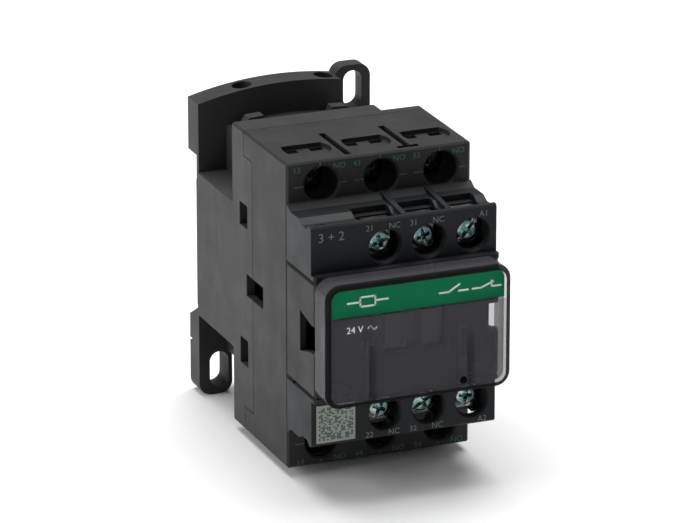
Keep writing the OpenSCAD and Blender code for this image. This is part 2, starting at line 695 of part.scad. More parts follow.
wing_t = 1.5;
wing_y = y_arm - 0.6;
module carrier() color("#4a4845") {
  w = bridge_w / 2 + free;
  difference() {
    union() {
      box(cols[0] - w - 1.6, cols[2] + w + 1.6, y_bar, y_plate - 0.2, -bar_z, bar_z);
      box(-10, 10, y_plate - over, y_arm, -stem_z, stem_z);
      box(pole_x - 3.2, pole_x + 3.2, wing_y - wing_t, wing_y, -spring_z - 3.2, spring_z + 3.2);
      for (s = [-1, 1]) ybar(pole_x, s * spring_z, return_d / 2 - wire_d - 0.5, wing_y - 0.2, wing_y + 1.4);
      box(stem_x[0], stem_x[1], y_block + 1.9, y_bar + over, -stem_z, stem_z);
      // two prongs that show behind the cover
      for (x = [aux_cols[0] + 1.2, aux_cols[1] - 0.7])
        box(x - 2, x + 2, y_plinth + 0.2, y_block + 2.5, -stem_z, stem_z);
      box(stem_x[0] + 1.2, stem_x[1] - 1.2, y_block + 0.6, y_block + 2.5, -stem_z, stem_z);
    }
    for (x = cols) box(x - w, x + w, y_bar + bar_wall, y_stop, -bar_z - over, bar_z + over);
    for (i = [0, 1])
      box(aux_cols[i] - w, aux_cols[i] + w, y_astop, y_awin, -bar_z - over, bar_z + over);
  }
}

module return_springs() color("#b9bcc0")
  for (s = [-1, 1])
    coil_y(pole_x, s * spring_z, return_d, wire_d, wing_y + seat, former_l[0] - seat, 7);

// ---- Contacts ----

// A power contact, drawn for the upper row
module power_contact(i) {
  x = cols[i];
  difference() {
    union() {
      box(x - plate_w / 2, x + plate_w / 2, y_plate, y_plate + plate_t, pole_z - 9.8, in_z - 0.3);
      box(x - 2.4, x + 2.4, y_plate, y_plate + plate_t, tongue_z, pole_z - 9);
    }
    ybar(x, pole_z, screw_d / 2 + run, y_plate - over, y_plate + plate_t + over);
  }
  ybar(x, rivet_z, rivet_d / 2, y_plate - rivet_h, y_plate + 0.2);
}

// A front contact, drawn for the upper row: column and screw height
module aux_contact(i, zc) {
  x = aux_cols[i];
  difference() {
    union() {
      box(x - aux_plate_w / 2, x + aux_plate_w / 2, y_aplate, y_aplate + aux_plate_t, zc - 5, block_z - 1.9);
      box(x - 2.3, x + 2.3, y_aplate, y_aplate + aux_plate_t, atongue_z, zc - 4);
    }
    ybar(x, zc, screw_d / 2 + run, y_aplate - over, y_aplate + aux_plate_t + over);
  }
  ybar(x, aux_rivet_z, rivet_d / 2, y_aplate + aux_plate_t - 0.2, y_aplate + aux_plate_t + rivet_h);
}

// A coil terminal with its lead back to the former, drawn for the upper row
module coil_terminal(zc) {
  x = aux_cols[2];
  z0 = seam_low + shell_floor + 0.1;     // clear of the shell's floor
  difference() {
    box(x - aux_plate_w / 2, x + aux_plate_w / 2, y_aplate, y_aplate + aux_plate_t, z0, block_z - 1.9);
    ybar(x, zc, screw_d / 2 + run, y_aplate - over, y_aplate + aux_plate_t + over);
  }
  box(x, lead_x[1], y_aplate, y_aplate + aux_plate_t, z0, z0 + over);     // foot that reaches the lead
  box(lead_x[0], lead_x[1], y_aplate, y_aplate + aux_plate_t, lead_z[0], z0 + over);
  box(lead_x[0], lead_x[1], y_aplate, former_l[0] - seat, lead_z[0], lead_z[1]);
  box(leg_mid + 3, lead_x[1], former_l[0] - seat - 0.8, former_l[0] - seat, lead_z[0], former_z - 0.2);
}

module contact_13() color("#b98a4b") power_contact(0);
module contact_43() color("#b98a4b") power_contact(1);
module contact_53() color("#b98a4b") power_contact(2);
module contact_14() color("#b98a4b") scale([1, 1, -1]) power_contact(0);
module contact_44() color("#b98a4b") scale([1, 1, -1]) power_contact(1);
module contact_54() color("#b98a4b") scale([1, 1, -1]) power_contact(2);
module contact_21() color("#b98a4b") aux_contact(0, aux_z_up);
module contact_31() color("#b98a4b") aux_contact(1, aux_z_up);
module contact_22() color("#b98a4b") scale([1, 1, -1]) aux_contact(0, aux_z_low);
module contact_32() color("#b98a4b") scale([1, 1, -1]) aux_contact(1, aux_z_low);
module terminal_a1() color("#c0c2c4") coil_terminal(aux_z_up);
module terminal_a2() color("#c0c2c4") scale([1, 1, -1]) coil_terminal(aux_z_low);

module bridge_no(x) {
  box(x - bridge_w / 2, x + bridge_w / 2, y_bridge, y_bridge + bridge_t, -rivet_z - 1.9, rivet_z + 1.9);
  for (s = [-1, 1])
    ybar(x, s * rivet_z, rivet_d / 2 - 0.1, y_bridge + 0.2, y_bridge + bridge_t + rivet_h);
}
module bridge_nc(x) {
  box(x - bridge_w / 2, x + bridge_w / 2, y_abridge, y_abridge + bridge_t, -aux_rivet_z - 1.8, aux_rivet_z + 1.8);
  for (s = [-1, 1])
    ybar(x, s * aux_rivet_z, rivet_d / 2 - 0.1, y_abridge - rivet_h, y_abridge + 0.2);
}
module bridge_13() color("#c79a5a") bridge_no(cols[0]);
module bridge_43() color("#c79a5a") bridge_no(cols[1]);
module bridge_53() color("#c79a5a") bridge_no(cols[2]);
module bridge_21() color("#c79a5a") bridge_nc(aux_cols[0]);
module bridge_31() color("#c79a5a") bridge_nc(aux_cols[1]);

module no_contact_springs() color("#b9bcc0")
  for (x = cols) coil_y(x, 0, spring_d, wire_d, y_bar + bar_wall + seat, y_bridge - seat, 3);

module nc_contact_springs() color("#b9bcc0")
  for (i = [0, 1])
    coil_y(aux_cols[i], 0, spring_d, wire_d, y_abridge + bridge_t + seat, y_awin - seat, 3);

// ---- Rail clip ----

clip_win = [stop_z - 0.5, -edge_z - 2.6];
module rail_clip() color("#2c2c2e") {
  y_hook = rail_t + free;
  difference() {
    union() {
      box(-clip_x, clip_x, clip_y0, clip_flange, clip_low, -edge_z - 1);
      box(-clip_in, clip_in, clip_y0, clip_y1, clip_low, -edge_z - 1);
      prism_x([[y_hook, -edge_z - 2], [y_hook, -edge_z + hook_over], [y_hook + 0.7, -edge_z + hook_over],
        [clip_y1, -edge_z - 1.4], [clip_y1, -edge_z - 2]], -clip_in, clip_in);
    }
    box(-2.4, 2.4, clip_y0 - over, clip_y1 + over, clip_win[0], clip_win[1]);
    // slot for a screwdriver blade
    box(-3, 3, clip_y1 - 1.6, clip_y1 + over, clip_low + 0.9, clip_low + 2);
  }
}

module clip_spring() color("#b9bcc0")
  translate([0, clip_y0 + 2.5, stop_z + 1.7 + seat]) rotate([-90, 0, 0])
    coil_y(0, 0, 3.6, wire_d, -(clip_win[1] - stop_z - 1.7 - 2 * seat), 0, 7);

// ---- Front cover ----

rib_at = [-11.2, 12.7];
module front_cover() color([0.45, 0.46, 0.5, 0.45]) {
  x = cover_x;
  t = cover_t;
  y1 = y_plinth - 0.05;
  difference() {
    hull() {
      rbox(-x, x, y_cover + 0.9, y1, -cover_low, cover_top, cover_r, $fn = 32);
      rbox(-x + 0.9, x - 0.9, y_cover, y1, -cover_low + 0.9, cover_top - 0.9, cover_r - 0.9, $fn = 32);
    }
    rbox(-x + t, x - t, y_cover + t, y1 + over, -cover_low + t, cover_top - t, cover_r - t, $fn = 32);
    ybar(10.9, -11.5, 1.35, y_cover - over, y_cover + 3);
  }
  // two ribs inside, each with a hook that enters the frame
  for (r = rib_at) box(r - 0.7, r + 0.7, y_cover + t - 0.1, y_plinth - 0.6, -cover_low + t - 0.1, -0.5);
  for (s = [-1, 1])
    box(s * 17 - 1.2, s * 17 + 1.2, y_cover + t - 0.1, y_block - 0.2, -seam_low + 1.7, -seam_low + 2.9);
}

module cover_band() color("#0f6a3c") {
  x = cover_x - cover_t - 0.05;
  y0 = y_cover + cover_t + 0.02;
  z1 = cover_top - cover_t - 0.05;
  intersection() {
    rbox(-x, x, y0, y0 + 0.2, -cover_low + 2, z1, cover_r - cover_t, $fn = 32);
    box(-x, x, y0 - over, y0 + over, cover_top - band_h, z1 + over);
  }
}

// ---- Terminal screws and clamps ----

// A combination slot and cross head screw along Y, its seat at y
module screw(x, z, y, hd, hh, len, turn) {
  difference() {
    union() {
      ybar(x, z, hd / 2, y - hh + 0.5, y);
      translate([x, y - hh + 0.5, z]) rotate([90, 0, 0]) cylinder(r1 = hd / 2, r2 = hd / 2 - 0.5, h = 0.5);
      ybar(x, z, screw_d / 2, y - 0.5, y + len - 0.6);
      translate([x, y + len, z]) rotate([90, 0, 0]) cylinder(r1 = screw_d / 2 - 0.6, r2 = screw_d / 2, h = 0.6);
    }
    translate([x, 0, z]) rotate([0, turn, 0]) {
      box(-hd, hd, y - hh - over, y - hh + 0.8, -0.45, 0.45);
      box(-1.9, 1.9, y - hh - over, y - hh + 1.5, -0.5, 0.5);
      box(-0.5, 0.5, y - hh - over, y - hh + 1.5, -1.9, 1.9);
    }
  }
}

// A clamp washer with its wire grooves, its front face at y
module clamp(x, z, y, w, t) {
  difference() {
    prism_y(rect_c(x - w / 2, x + w / 2, z - w / 2, z + w / 2 - 0.6, 0.6), y, y + t);
    ybar(x, z, screw_d / 2 + run, y - over, y + t + over);
    for (d = [-2.9, 2.9]) box(x + d - 0.25, x + d + 0.25, y + t - 0.25, y + t + over, z - w, z + w);
  }
}

module power_screw(i, s, turn) color("#b8b6ae")
  scale([1, 1, s]) screw(cols[i], pole_z, y_seat, head_d, head_h, screw_l, turn);
module aux_screw(i, s, z, turn) color("#c9cac8")
  scale([1, 1, s]) screw(aux_cols[i], z, y_aseat, aux_head_d, aux_head_h, aux_screw_l, turn);
module power_clamp(i, s) color("#a9a79f")
  scale([1, 1, s]) clamp(cols[i], pole_z, y_seat + seat, clamp_w, clamp_t);
module aux_clamp(i, s, z) color("#b4b4b0")
  scale([1, 1, s]) clamp(aux_cols[i], z, y_aseat + seat, aux_clamp_w, aux_clamp_t);

module screw_13() power_screw(0, 1, 28);
module screw_43() power_screw(1, 1, 62);
module screw_53() power_screw(2, 1, 12);
module screw_14() power_screw(0, -1, 75);
module screw_44() power_screw(1, -1, 40);
module screw_54() power_screw(2, -1, 100);
module screw_21() aux_screw(0, 1, aux_z_up, 20);
module screw_31() aux_screw(1, 1, aux_z_up, 110);
module screw_a1() aux_screw(2, 1, aux_z_up, 50);
module screw_22() aux_screw(0, -1, aux_z_low, 65);
module screw_32() aux_screw(1, -1, aux_z_low, 30);
module screw_a2() aux_screw(2, -1, aux_z_low, 80);
module clamp_13() power_clamp(0, 1);
module clamp_43() power_clamp(1, 1);
module clamp_53() power_clamp(2, 1);
module clamp_14() power_clamp(0, -1);
module clamp_44() power_clamp(1, -1);
module clamp_54() power_clamp(2, -1);
module clamp_21() aux_clamp(0, 1, aux_z_up);
module clamp_31() aux_clamp(1, 1, aux_z_up);
module clamp_a1() aux_clamp(2, 1, aux_z_up);
module clamp_22() aux_clamp(0, -1, aux_z_low);
module clamp_32() aux_clamp(1, -1, aux_z_low);
module clamp_a2() aux_clamp(2, -1, aux_z_low);

rear_housing();
main_housing();
front_block();
centre_frame();
data_label();
coil_former();
coil_winding();
fixed_core();
shading_rings();
core_cushion();
contact_13();
contact_14();
contact_43();
contact_44();
contact_53();
contact_54();
contact_21();
contact_22();
contact_31();
contact_32();
terminal_a1();
terminal_a2();
armature();
carrier();
return_springs();
bridge_13();
bridge_43();
bridge_53();
bridge_21();
bridge_31();
no_contact_springs();
nc_contact_springs();
rail_clip();
clip_spring();
front_cover();
cover_band();
screw_13();
screw_14();
screw_43();
screw_44();
screw_53();
screw_54();
screw_21();
screw_22();
screw_31();
screw_32();
screw_a1();
screw_a2();
clamp_13();
clamp_14();
clamp_43();
clamp_44();
clamp_53();
clamp_54();
clamp_21();
clamp_22();
clamp_31();
clamp_32();
clamp_a1();
clamp_a2();
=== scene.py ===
# %% [markdown]
# # Dressing a rail mounted contactor
# The frame that is loaded here already has every casing, screw and contact at its true size and place, as
# plain shapes. This lesson gives each of them a real finish, and makes the pieces that a designer's model
# leaves plain: the smoked clear cover, the stamped screw heads, the wound coil and the print. Everything is
# in metres.

# %% Load the frame
import math

import bmesh
import bpy
from mathutils import Matrix, Vector


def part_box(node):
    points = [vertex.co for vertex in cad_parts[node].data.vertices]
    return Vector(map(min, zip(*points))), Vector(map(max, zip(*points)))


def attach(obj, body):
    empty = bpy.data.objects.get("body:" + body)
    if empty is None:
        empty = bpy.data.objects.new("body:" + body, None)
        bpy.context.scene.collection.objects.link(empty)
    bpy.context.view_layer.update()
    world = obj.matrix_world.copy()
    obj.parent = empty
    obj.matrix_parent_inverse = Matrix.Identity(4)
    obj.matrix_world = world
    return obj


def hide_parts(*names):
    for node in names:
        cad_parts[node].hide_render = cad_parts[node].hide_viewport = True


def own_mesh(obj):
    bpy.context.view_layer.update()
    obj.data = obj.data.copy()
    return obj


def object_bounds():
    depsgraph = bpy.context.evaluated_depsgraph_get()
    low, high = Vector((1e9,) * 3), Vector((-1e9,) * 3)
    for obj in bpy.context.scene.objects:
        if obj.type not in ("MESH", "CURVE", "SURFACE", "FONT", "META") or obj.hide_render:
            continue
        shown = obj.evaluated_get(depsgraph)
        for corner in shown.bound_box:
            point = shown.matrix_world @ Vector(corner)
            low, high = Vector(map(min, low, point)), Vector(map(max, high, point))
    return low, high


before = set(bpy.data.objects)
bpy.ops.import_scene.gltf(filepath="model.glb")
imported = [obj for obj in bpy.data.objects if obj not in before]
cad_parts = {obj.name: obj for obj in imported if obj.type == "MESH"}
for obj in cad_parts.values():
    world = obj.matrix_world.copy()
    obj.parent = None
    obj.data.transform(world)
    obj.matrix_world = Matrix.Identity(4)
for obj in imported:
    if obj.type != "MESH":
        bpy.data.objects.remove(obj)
cad_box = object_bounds()
scene = bpy.context.scene
MM = 0.001
print("nodes in the frame:", len(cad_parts))
print("size in mm:", [round(v / MM, 1) for v in cad_box[1] - cad_box[0]])

# %% [markdown]
# ## Measures taken from the frame
# Marks and covers have to sit exactly on the casings, so no place is typed twice. The front faces, the
# screw places and the cover's box are read from the frame, and the rest of the script works from them. The
# front of the contactor faces -Y, so a front face is the lowest Y of its node.

# %% Find the faces and the screw places
def low(node):
    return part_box(node)[0]


def high(node):
    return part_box(node)[1]


def middle(node):
    return (low(node) + high(node)) / 2


POWER_UP, POWER_LOW = ["13", "43", "53"], ["14", "44", "54"]
FRONT_UP, FRONT_LOW = ["21", "31", "a1"], ["22", "32", "a2"]
power_face = low("main_housing").y
front_face = low("data_label").y + 0.15 * MM
cover_low, cover_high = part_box("front_cover")
RIB_PLACES, RIB_HALF, RIB_TOP = (-11.2 * MM, 12.7 * MM), 0.7 * MM, -0.5 * MM
print("power face, front face, cover face in mm:",
      [round(y / MM, 2) for y in (power_face, front_face, cover_low.y)])

# %% [markdown]
# ## Camera
# A long lens from a little over a metre keeps the casing's edges nearly parallel, as product pictures do.
# The camera is aimed with a track quaternion, which turns its -Z axis to the target and keeps +Y upwards.

# %% Place the camera
camera_data = bpy.data.cameras.new("studio_camera")
camera_data.sensor_width = 36.0
camera_data.lens = 268.0
camera_data.clip_start = 0.05
camera_data.clip_end = 20.0
camera = bpy.data.objects.new("studio_camera", camera_data)
scene.collection.objects.link(camera)
camera_target = Vector((-7.08, -57.2, 11.52)) * MM
camera_turn, camera_rise, camera_distance = math.radians(-22.35), math.radians(19.3), 1177 * MM
camera_back = Vector((math.sin(camera_turn) * math.cos(camera_rise),
                      -math.cos(camera_turn) * math.cos(camera_rise), math.sin(camera_rise)))
camera.location = camera_target + camera_back * camera_distance
camera.rotation_mode = "QUATERNION"
camera.rotation_quaternion = (-camera_back).to_track_quat("-Z", "Y")
scene.camera = camera
print("camera at", [round(v, 3) for v in camera.location])

# %% [markdown]
# ## Floor and light
# Black plastic has no colour of its own to show, so its shape is drawn by soft reflections. A large panel
# on the left lights the side, another one above lights the tops and the floor, and a small one on the right
# draws the edges. The front stays dark, with only a weak fill. The view transform is Standard, so white
# stays white.

# %% Lay the floor and hang the lights
def simple_mesh(name, points, faces):
    mesh = bpy.data.meshes.new(name)
    mesh.from_pydata(points, [], faces)
    mesh.update()
    return mesh


floor_half, floor_z = 4.0, cad_box[0].z - 0.02 * MM
floor = bpy.data.objects.new("studio_floor", simple_mesh(
    "studio_floor", [(x, y, floor_z) for x, y in ((-1, -1), (1, -1), (1, 1), (-1, 1))], [(0, 1, 2, 3)]))
for corner in floor.data.vertices:
    corner.co.x *= floor_half
    corner.co.y *= floor_half
floor_paint = bpy.data.materials.new("floor_paint")
floor_paint.use_nodes = True
floor_shader = floor_paint.node_tree.nodes["Principled BSDF"]
floor_shader.inputs["Base Color"].default_value = (0.92, 0.92, 0.92, 1)
floor_shader.inputs["Roughness"].default_value = 0.85
floor_shader.inputs["Specular IOR Level"].default_value = 0.1
floor.data.materials.append(floor_paint)
scene.collection.objects.link(floor)


def soft_panel(name, place, size, watts):
    """A square light panel that faces the contactor."""
    panel = bpy.data.lights.new(name, "AREA")
    panel.size = size
    panel.energy = watts
    lamp = bpy.data.objects.new(name, panel)
    lamp.location = place
    lamp.rotation_mode = "QUATERNION"
    lamp.rotation_quaternion = (Vector((0, -0.04, 0)) - Vector(place)).to_track_quat("-Z", "Y")
    scene.collection.objects.link(lamp)


soft_panel("left_panel", (-1.35, 0.25, 0.45), 1.1, 15)
soft_panel("top_panel", (0.1, 0.3, 1.5), 1.5, 34)
soft_panel("right_panel", (1.1, 0.5, 0.45), 0.7, 3)
soft_panel("front_panel", (0.35, -1.7, 0.9), 0.7, 1.2)
world = bpy.data.worlds.new("studio_air")
world.use_nodes = True
world.node_tree.nodes["Background"].inputs["Color"].default_value = (0.97, 0.98, 1, 1)
world.node_tree.nodes["Background"].inputs["Strength"].default_value = 0.14
scene.world = world
scene.view_settings.view_transform = "Standard"

# %% [markdown]
# ## Shader effects as groups
# Several finishes share the same effects: a fine moulded grain, a slow drift in tone, handling marks,
# rubbed edges that also carry a painted highlight, dust that also stands in as a painted top light, and drawn
# lines. Each is built once as a node group with named inputs, and is then placed in every material that needs
# it with its own values. Groups give out only masks, values, colours and normals. One helper makes a node and
# fills its sockets, either with values or with links.

# %% Helpers for nodes and groups
FLOAT, COLOUR, VECTOR = "NodeSocketFloat", "NodeSocketColor", "NodeSocketVector"


def put(tree, kind, values=(), **settings):
    """A new node with its settings made and its inputs given values or linked to other nodes' outputs."""
    node = tree.nodes.new(kind)
    for key, value in settings.items():
        setattr(node, key, value)
    for key, value in dict(values).items():
        if isinstance(value, bpy.types.NodeSocket):
            tree.links.new(value, node.inputs[key])
        else:
            node.inputs[key].default_value = value
    return node


def made(tree, kind, values=(), **settings):
    """The first output of a new node."""
    return put(tree, kind, values, **settings).outputs[0]


def math_of(tree, operation, *values):
    return made(tree, "ShaderNodeMath", enumerate(values), operation=operation)


def times(tree, first, second):
    return math_of(tree, "MULTIPLY", first, second)


def own_point(tree):
    """Where the shaded point is on its own piece, in metres."""
    return put(tree, "ShaderNodeTexCoord").outputs["Object"]


def ramp(tree, value, start, end, to_start=0.0, to_end=1.0):
    """value, carried from the range start..end to another range and held there."""
    return put(tree, "ShaderNodeMapRange", {"Value": value, "From Min": start, "From Max": end,
                                            "To Min": to_start, "To Max": to_end}).outputs["Result"]


def noise(tree, scale, detail=3.0, roughness=0.5, stretch=None):
    """Noise on Object coordinates; scale is in waves per metre."""
    place = own_point(tree)
    if stretch:
        place = put(tree, "ShaderNodeMapping", {"Vector": place, "Scale": stretch}).outputs["Vector"]
    return put(tree, "ShaderNodeTexNoise", {"Vector": place, "Scale": scale, "Detail": detail,
                                            "Roughness": roughness}).outputs["Fac"]


A_COLOUR, B_COLOUR, COLOUR_OUT = 6, 7, 2


def blend_colours(tree, factor, first, second, kind="MIX"):
    return put(tree, "ShaderNodeMix", {0: factor, A_COLOUR: first, B_COLOUR: second},
               data_type="RGBA", blend_type=kind).outputs[COLOUR_OUT]


def effect(name, takes, gives):
    """An empty shader group with named sockets, and the outputs of its input node."""
    tree = bpy.data.node_groups.new(name, "ShaderNodeTree")
    for label, (kind, value) in takes.items():
        tree.interface.new_socket(label, in_out="INPUT", socket_type=kind).default_value = value
    for label, kind in gives.items():
        tree.interface.new_socket(label, in_out="OUTPUT", socket_type=kind)
    return tree, tree.nodes.new("NodeGroupInput").outputs


def close_effect(tree, results):
    put(tree, "NodeGroupOutput", results)
    print("group", tree.name, "gives", list(results))


def use(tree, group, **values):
    """Places an effect in a material; its inputs are named with _ for a space."""
    return put(tree, "ShaderNodeGroup", {k.replace("_", " "): v for k, v in values.items()},
               node_tree=group).outputs

# %% [markdown]
# ### Moulded grain
# An injection mould is spark eroded, so the plastic comes out with a fine pitted skin. Noise gives its soft
# lumps and a cell texture its pits. At a few waves per millimetre it breaks up reflections without showing
# as bumps.

# %% Build the grain
grain, given = effect("moulded grain", {"Scale": (FLOAT, 2600.0), "Pitting": (FLOAT, 0.4)},
                      {"Height": FLOAT, "Speckle": FLOAT})
lumps = noise(grain, given["Scale"], 4.0, 0.65)
pits = made(grain, "ShaderNodeTexVoronoi", {"Vector": own_point(grain), "Scale": given["Scale"]})
grain_height = math_of(grain, "ADD", lumps, times(grain, pits, given["Pitting"]))
close_effect(grain, {"Height": grain_height, "Speckle": ramp(grain, lumps, 0.35, 0.65)})

# %% [markdown]
# ### Tone drift and handling
# No moulding is one even tone: the resin flows, cools and is touched. Tone drift multiplies the colour by a
# slow cloud of noise with a little fine speckle. Handling moves the roughness between two values in smudges
# and thin scratches.

# %% Build tone drift and handling
drift, given = effect("tone drift", {"Colour": (COLOUR, (0.5, 0.5, 0.5, 1)), "Amount": (FLOAT, 0.2),
                                     "Scale": (FLOAT, 60.0)}, {"Colour": COLOUR})
cloud = noise(drift, given["Scale"], 6.0, 0.6)
swing = times(drift, math_of(drift, "SUBTRACT", cloud, 0.5), given["Amount"])
level = math_of(drift, "ADD", times(drift, swing, 2.0), 1.0)
grey_level = made(drift, "ShaderNodeCombineColor", {"Red": level, "Green": level, "Blue": level})
close_effect(drift, {"Colour": blend_colours(drift, 1.0, given["Colour"], grey_level, "MULTIPLY")})

handling, given = effect("handling", {"Smooth": (FLOAT, 0.4), "Rough": (FLOAT, 0.6), "Scale": (FLOAT, 90.0)},
                         {"Roughness": FLOAT, "Scratches": FLOAT})
smudge = noise(handling, given["Scale"], 5.0, 0.55)
scratch = ramp(handling, noise(handling, 900.0, 2.0, 0.5, (1.0, 1.0, 0.06)), 0.66, 0.72)
spread = ramp(handling, smudge, 0.3, 0.7, given["Smooth"], given["Rough"])
close_effect(handling, {"Scratches": scratch, "Roughness": math_of(
    handling, "SUBTRACT", spread, times(handling, scratch, 0.08))})

# %% [markdown]
# ### Rubbed edges with a painted highlight, and dust with a painted top light
# The Bevel node looks round a corner and gives the normal that a rounded edge would have. Where that
# differs from the true normal there is an edge, which is what hands and boxes rub. The finishes lighten that
# edge, partly as wear and partly as a painted highlight. The same normal also softens the corner in the
# light. Dust settles only where a face looks upwards, and its lighter tone there is also a painted top light.

# %% Build the edge mask with its painted highlight, and the dust mask with its painted top light
edge_wear_and_highlight, given = effect("rubbed edge", {"Radius": (FLOAT, 0.00025), "Breakup": (FLOAT, 900.0)},
                      {"Mask": FLOAT, "Normal": VECTOR})
rounded = put(edge_wear_and_highlight, "ShaderNodeBevel", {"Radius": given["Radius"]}, samples=4).outputs["Normal"]
straight = put(edge_wear_and_highlight, "ShaderNodeNewGeometry").outputs["Normal"]
facing = put(edge_wear_and_highlight, "ShaderNodeVectorMath", {0: rounded, 1: straight},
             operation="DOT_PRODUCT").outputs["Value"]
patch = noise(edge_wear_and_highlight, given["Breakup"])
# The edge mask marks worn edges and also serves as a painted edge highlight where a finish lightens them.
edge_wear_and_highlight_mask = times(edge_wear_and_highlight, ramp(edge_wear_and_highlight, facing, 0.995, 0.85), ramp(edge_wear_and_highlight, patch, 0.3, 0.6, 0.35, 1.0))
close_effect(edge_wear_and_highlight, {"Mask": edge_wear_and_highlight_mask, "Normal": rounded})

# Upward faces get a lighter tone: partly settled dust, partly a painted top light.
dust_and_top_light, given = effect("settled dust", {"Amount": (FLOAT, 0.3)}, {"Mask": FLOAT})
upward = put(dust_and_top_light, "ShaderNodeSeparateXYZ", {
    "Vector": put(dust_and_top_light, "ShaderNodeNewGeometry").outputs["Normal"]}).outputs["Z"]
flecks = math_of(dust_and_top_light, "ADD", ramp(dust_and_top_light, noise(dust_and_top_light, 140.0, 6.0, 0.7), 0.4, 0.7, 0.25, 0.8),
                 ramp(dust_and_top_light, noise(dust_and_top_light, 2200.0, 2.0), 0.6, 0.68, 0.0, 0.4))
settled_and_top_lit = times(dust_and_top_light, ramp(dust_and_top_light, upward, 0.6, 1.0), flecks)
close_effect(dust_and_top_light, {"Mask": times(dust_and_top_light, settled_and_top_lit, given["Amount"])})

# %% [markdown]
# ### Drawn lines
# Rolled strip, drawn wire and stacked laminations all carry fine parallel lines. The group stretches noise
# along one direction, which a vector input sets: a large number on an axis packs the lines across it.

# %% Build the drawn lines
lines, given = effect("drawn lines", {"Stretch": (VECTOR, (1.0, 1.0, 1.0)), "Contrast": (FLOAT, 0.5)},
                      {"Height": FLOAT, "Mask": FLOAT})
line_place = made(lines, "ShaderNodeVectorMath", {0: own_point(lines), 1: given["Stretch"]},
                  operation="MULTIPLY")
streaks = put(lines, "ShaderNodeTexNoise", {"Vector": line_place, "Scale": 1.0, "Detail": 4.0}).outputs["Fac"]
line_height = times(lines, math_of(lines, "SUBTRACT", streaks, 0.5), given["Contrast"])
close_effect(lines, {"Height": line_height, "Mask": ramp(lines, streaks, 0.4, 0.65)})

# %% [markdown]
# ## Moulded plastics
# All the casings are glass filled polyamide, in blacks that differ a little. One function builds such a
# finish: the colour drifts, the edges are rubbed lighter with a painted highlight, dust and a painted top
# light lie on top, and the grain and the rounded edges reach the shader through one Bump node. Numbers that
# are the same all over are set on the shader's own sockets.

# %% Make the plastic finishes
def new_finish(name):
    material = bpy.data.materials.new(name)
    material.use_nodes = True
    tree = material.node_tree
    return material, tree, tree.nodes["Principled BSDF"]


def feed(tree, shader, **results):
    """Links results to the shader's sockets, named with _ for a space."""
    for key, value in results.items():
        socket = shader.inputs[key.replace("_", " ")]
        if isinstance(value, bpy.types.NodeSocket):
            tree.links.new(value, socket)
        else:
            socket.default_value = value


CASING_EDGE, METAL_EDGE, SCREW_EDGE, INK_GRAIN = 0.22 * MM, 0.12 * MM, 0.1 * MM, 0.004 * MM


def moulded(name, colour, worn, smooth=0.46, rough=0.6, depth=0.012, scale=2600.0, dust_and_top_light_amount=0.1, shine=0.2):
    """A moulded plastic: depth is the grain's, in millimetres."""
    material, tree, shader = new_finish(name)
    skin = use(tree, grain, Scale=scale, Pitting=0.5)
    rub = use(tree, edge_wear_and_highlight, Radius=CASING_EDGE)
    body_colour = use(tree, drift, Colour=(*colour, 1), Amount=0.22, Scale=70.0)["Colour"]
    speckled = blend_colours(tree, times(tree, skin["Speckle"], 0.16), body_colour, (*worn, 1))
    # Edges lean to the lighter worn colour: partly wear, partly a painted highlight.
    rubbed = blend_colours(tree, times(tree, rub["Mask"], 0.8), speckled, (*worn, 1))
    # Upward faces lean to a dust colour: partly dust, partly a painted top light.
    dusted_and_top_lit = blend_colours(tree, use(tree, dust_and_top_light, Amount=dust_and_top_light_amount)["Mask"], rubbed, (0.20, 0.19, 0.18, 1))
    bump = put(tree, "ShaderNodeBump", {"Height": skin["Height"], "Distance": depth * MM, "Strength": 1.0,
                                        "Normal": rub["Normal"]}).outputs["Normal"]
    feed(tree, shader, Base_Color=dusted_and_top_lit, Normal=bump, Specular_IOR_Level=shine,
         Roughness=use(tree, handling, Smooth=smooth, Rough=rough)["Roughness"])
    return material


finish = {
    "rear_housing": moulded("rear_casing_black", (0.026, 0.025, 0.026), (0.060, 0.059, 0.060)),
    "main_housing": moulded("main_casing_black", (0.020, 0.0195, 0.0205), (0.050, 0.049, 0.050)),
    "front_block": moulded("front_tier_black", (0.0085, 0.0098, 0.0115), (0.030, 0.033, 0.036), 0.38, 0.52,
                           shine=0.16),
    "centre_frame": moulded("centre_frame_black", (0.015, 0.015, 0.016), (0.045, 0.045, 0.045)),
    "coil_former": moulded("former_black", (0.028, 0.026, 0.024), (0.07, 0.065, 0.06), 0.45, 0.6, dust_and_top_light_amount=0.0),
    "carrier": moulded("carrier_grey", (0.085, 0.078, 0.072), (0.16, 0.15, 0.14), 0.4, 0.55, dust_and_top_light_amount=0.0),
    "rail_clip": moulded("clip_black", (0.026, 0.026, 0.028), (0.08, 0.08, 0.08), 0.34, 0.48, 0.006),
    "core_cushion": moulded("cushion_rubber", (0.018, 0.018, 0.018), (0.05, 0.05, 0.05), 0.75, 0.9, 0.03,
                            1500.0),
}
print("plastic finishes:", sorted(finish))

# %% [markdown]
# ## Metals
# The metal parts are zinc plated steel, brass strip, copper, ground steel laminations and spring wire. They
# share one function, with drawn lines that run the way the part was rolled or drawn, and a second colour
# for the tint that a plating or an oxide leaves in patches.

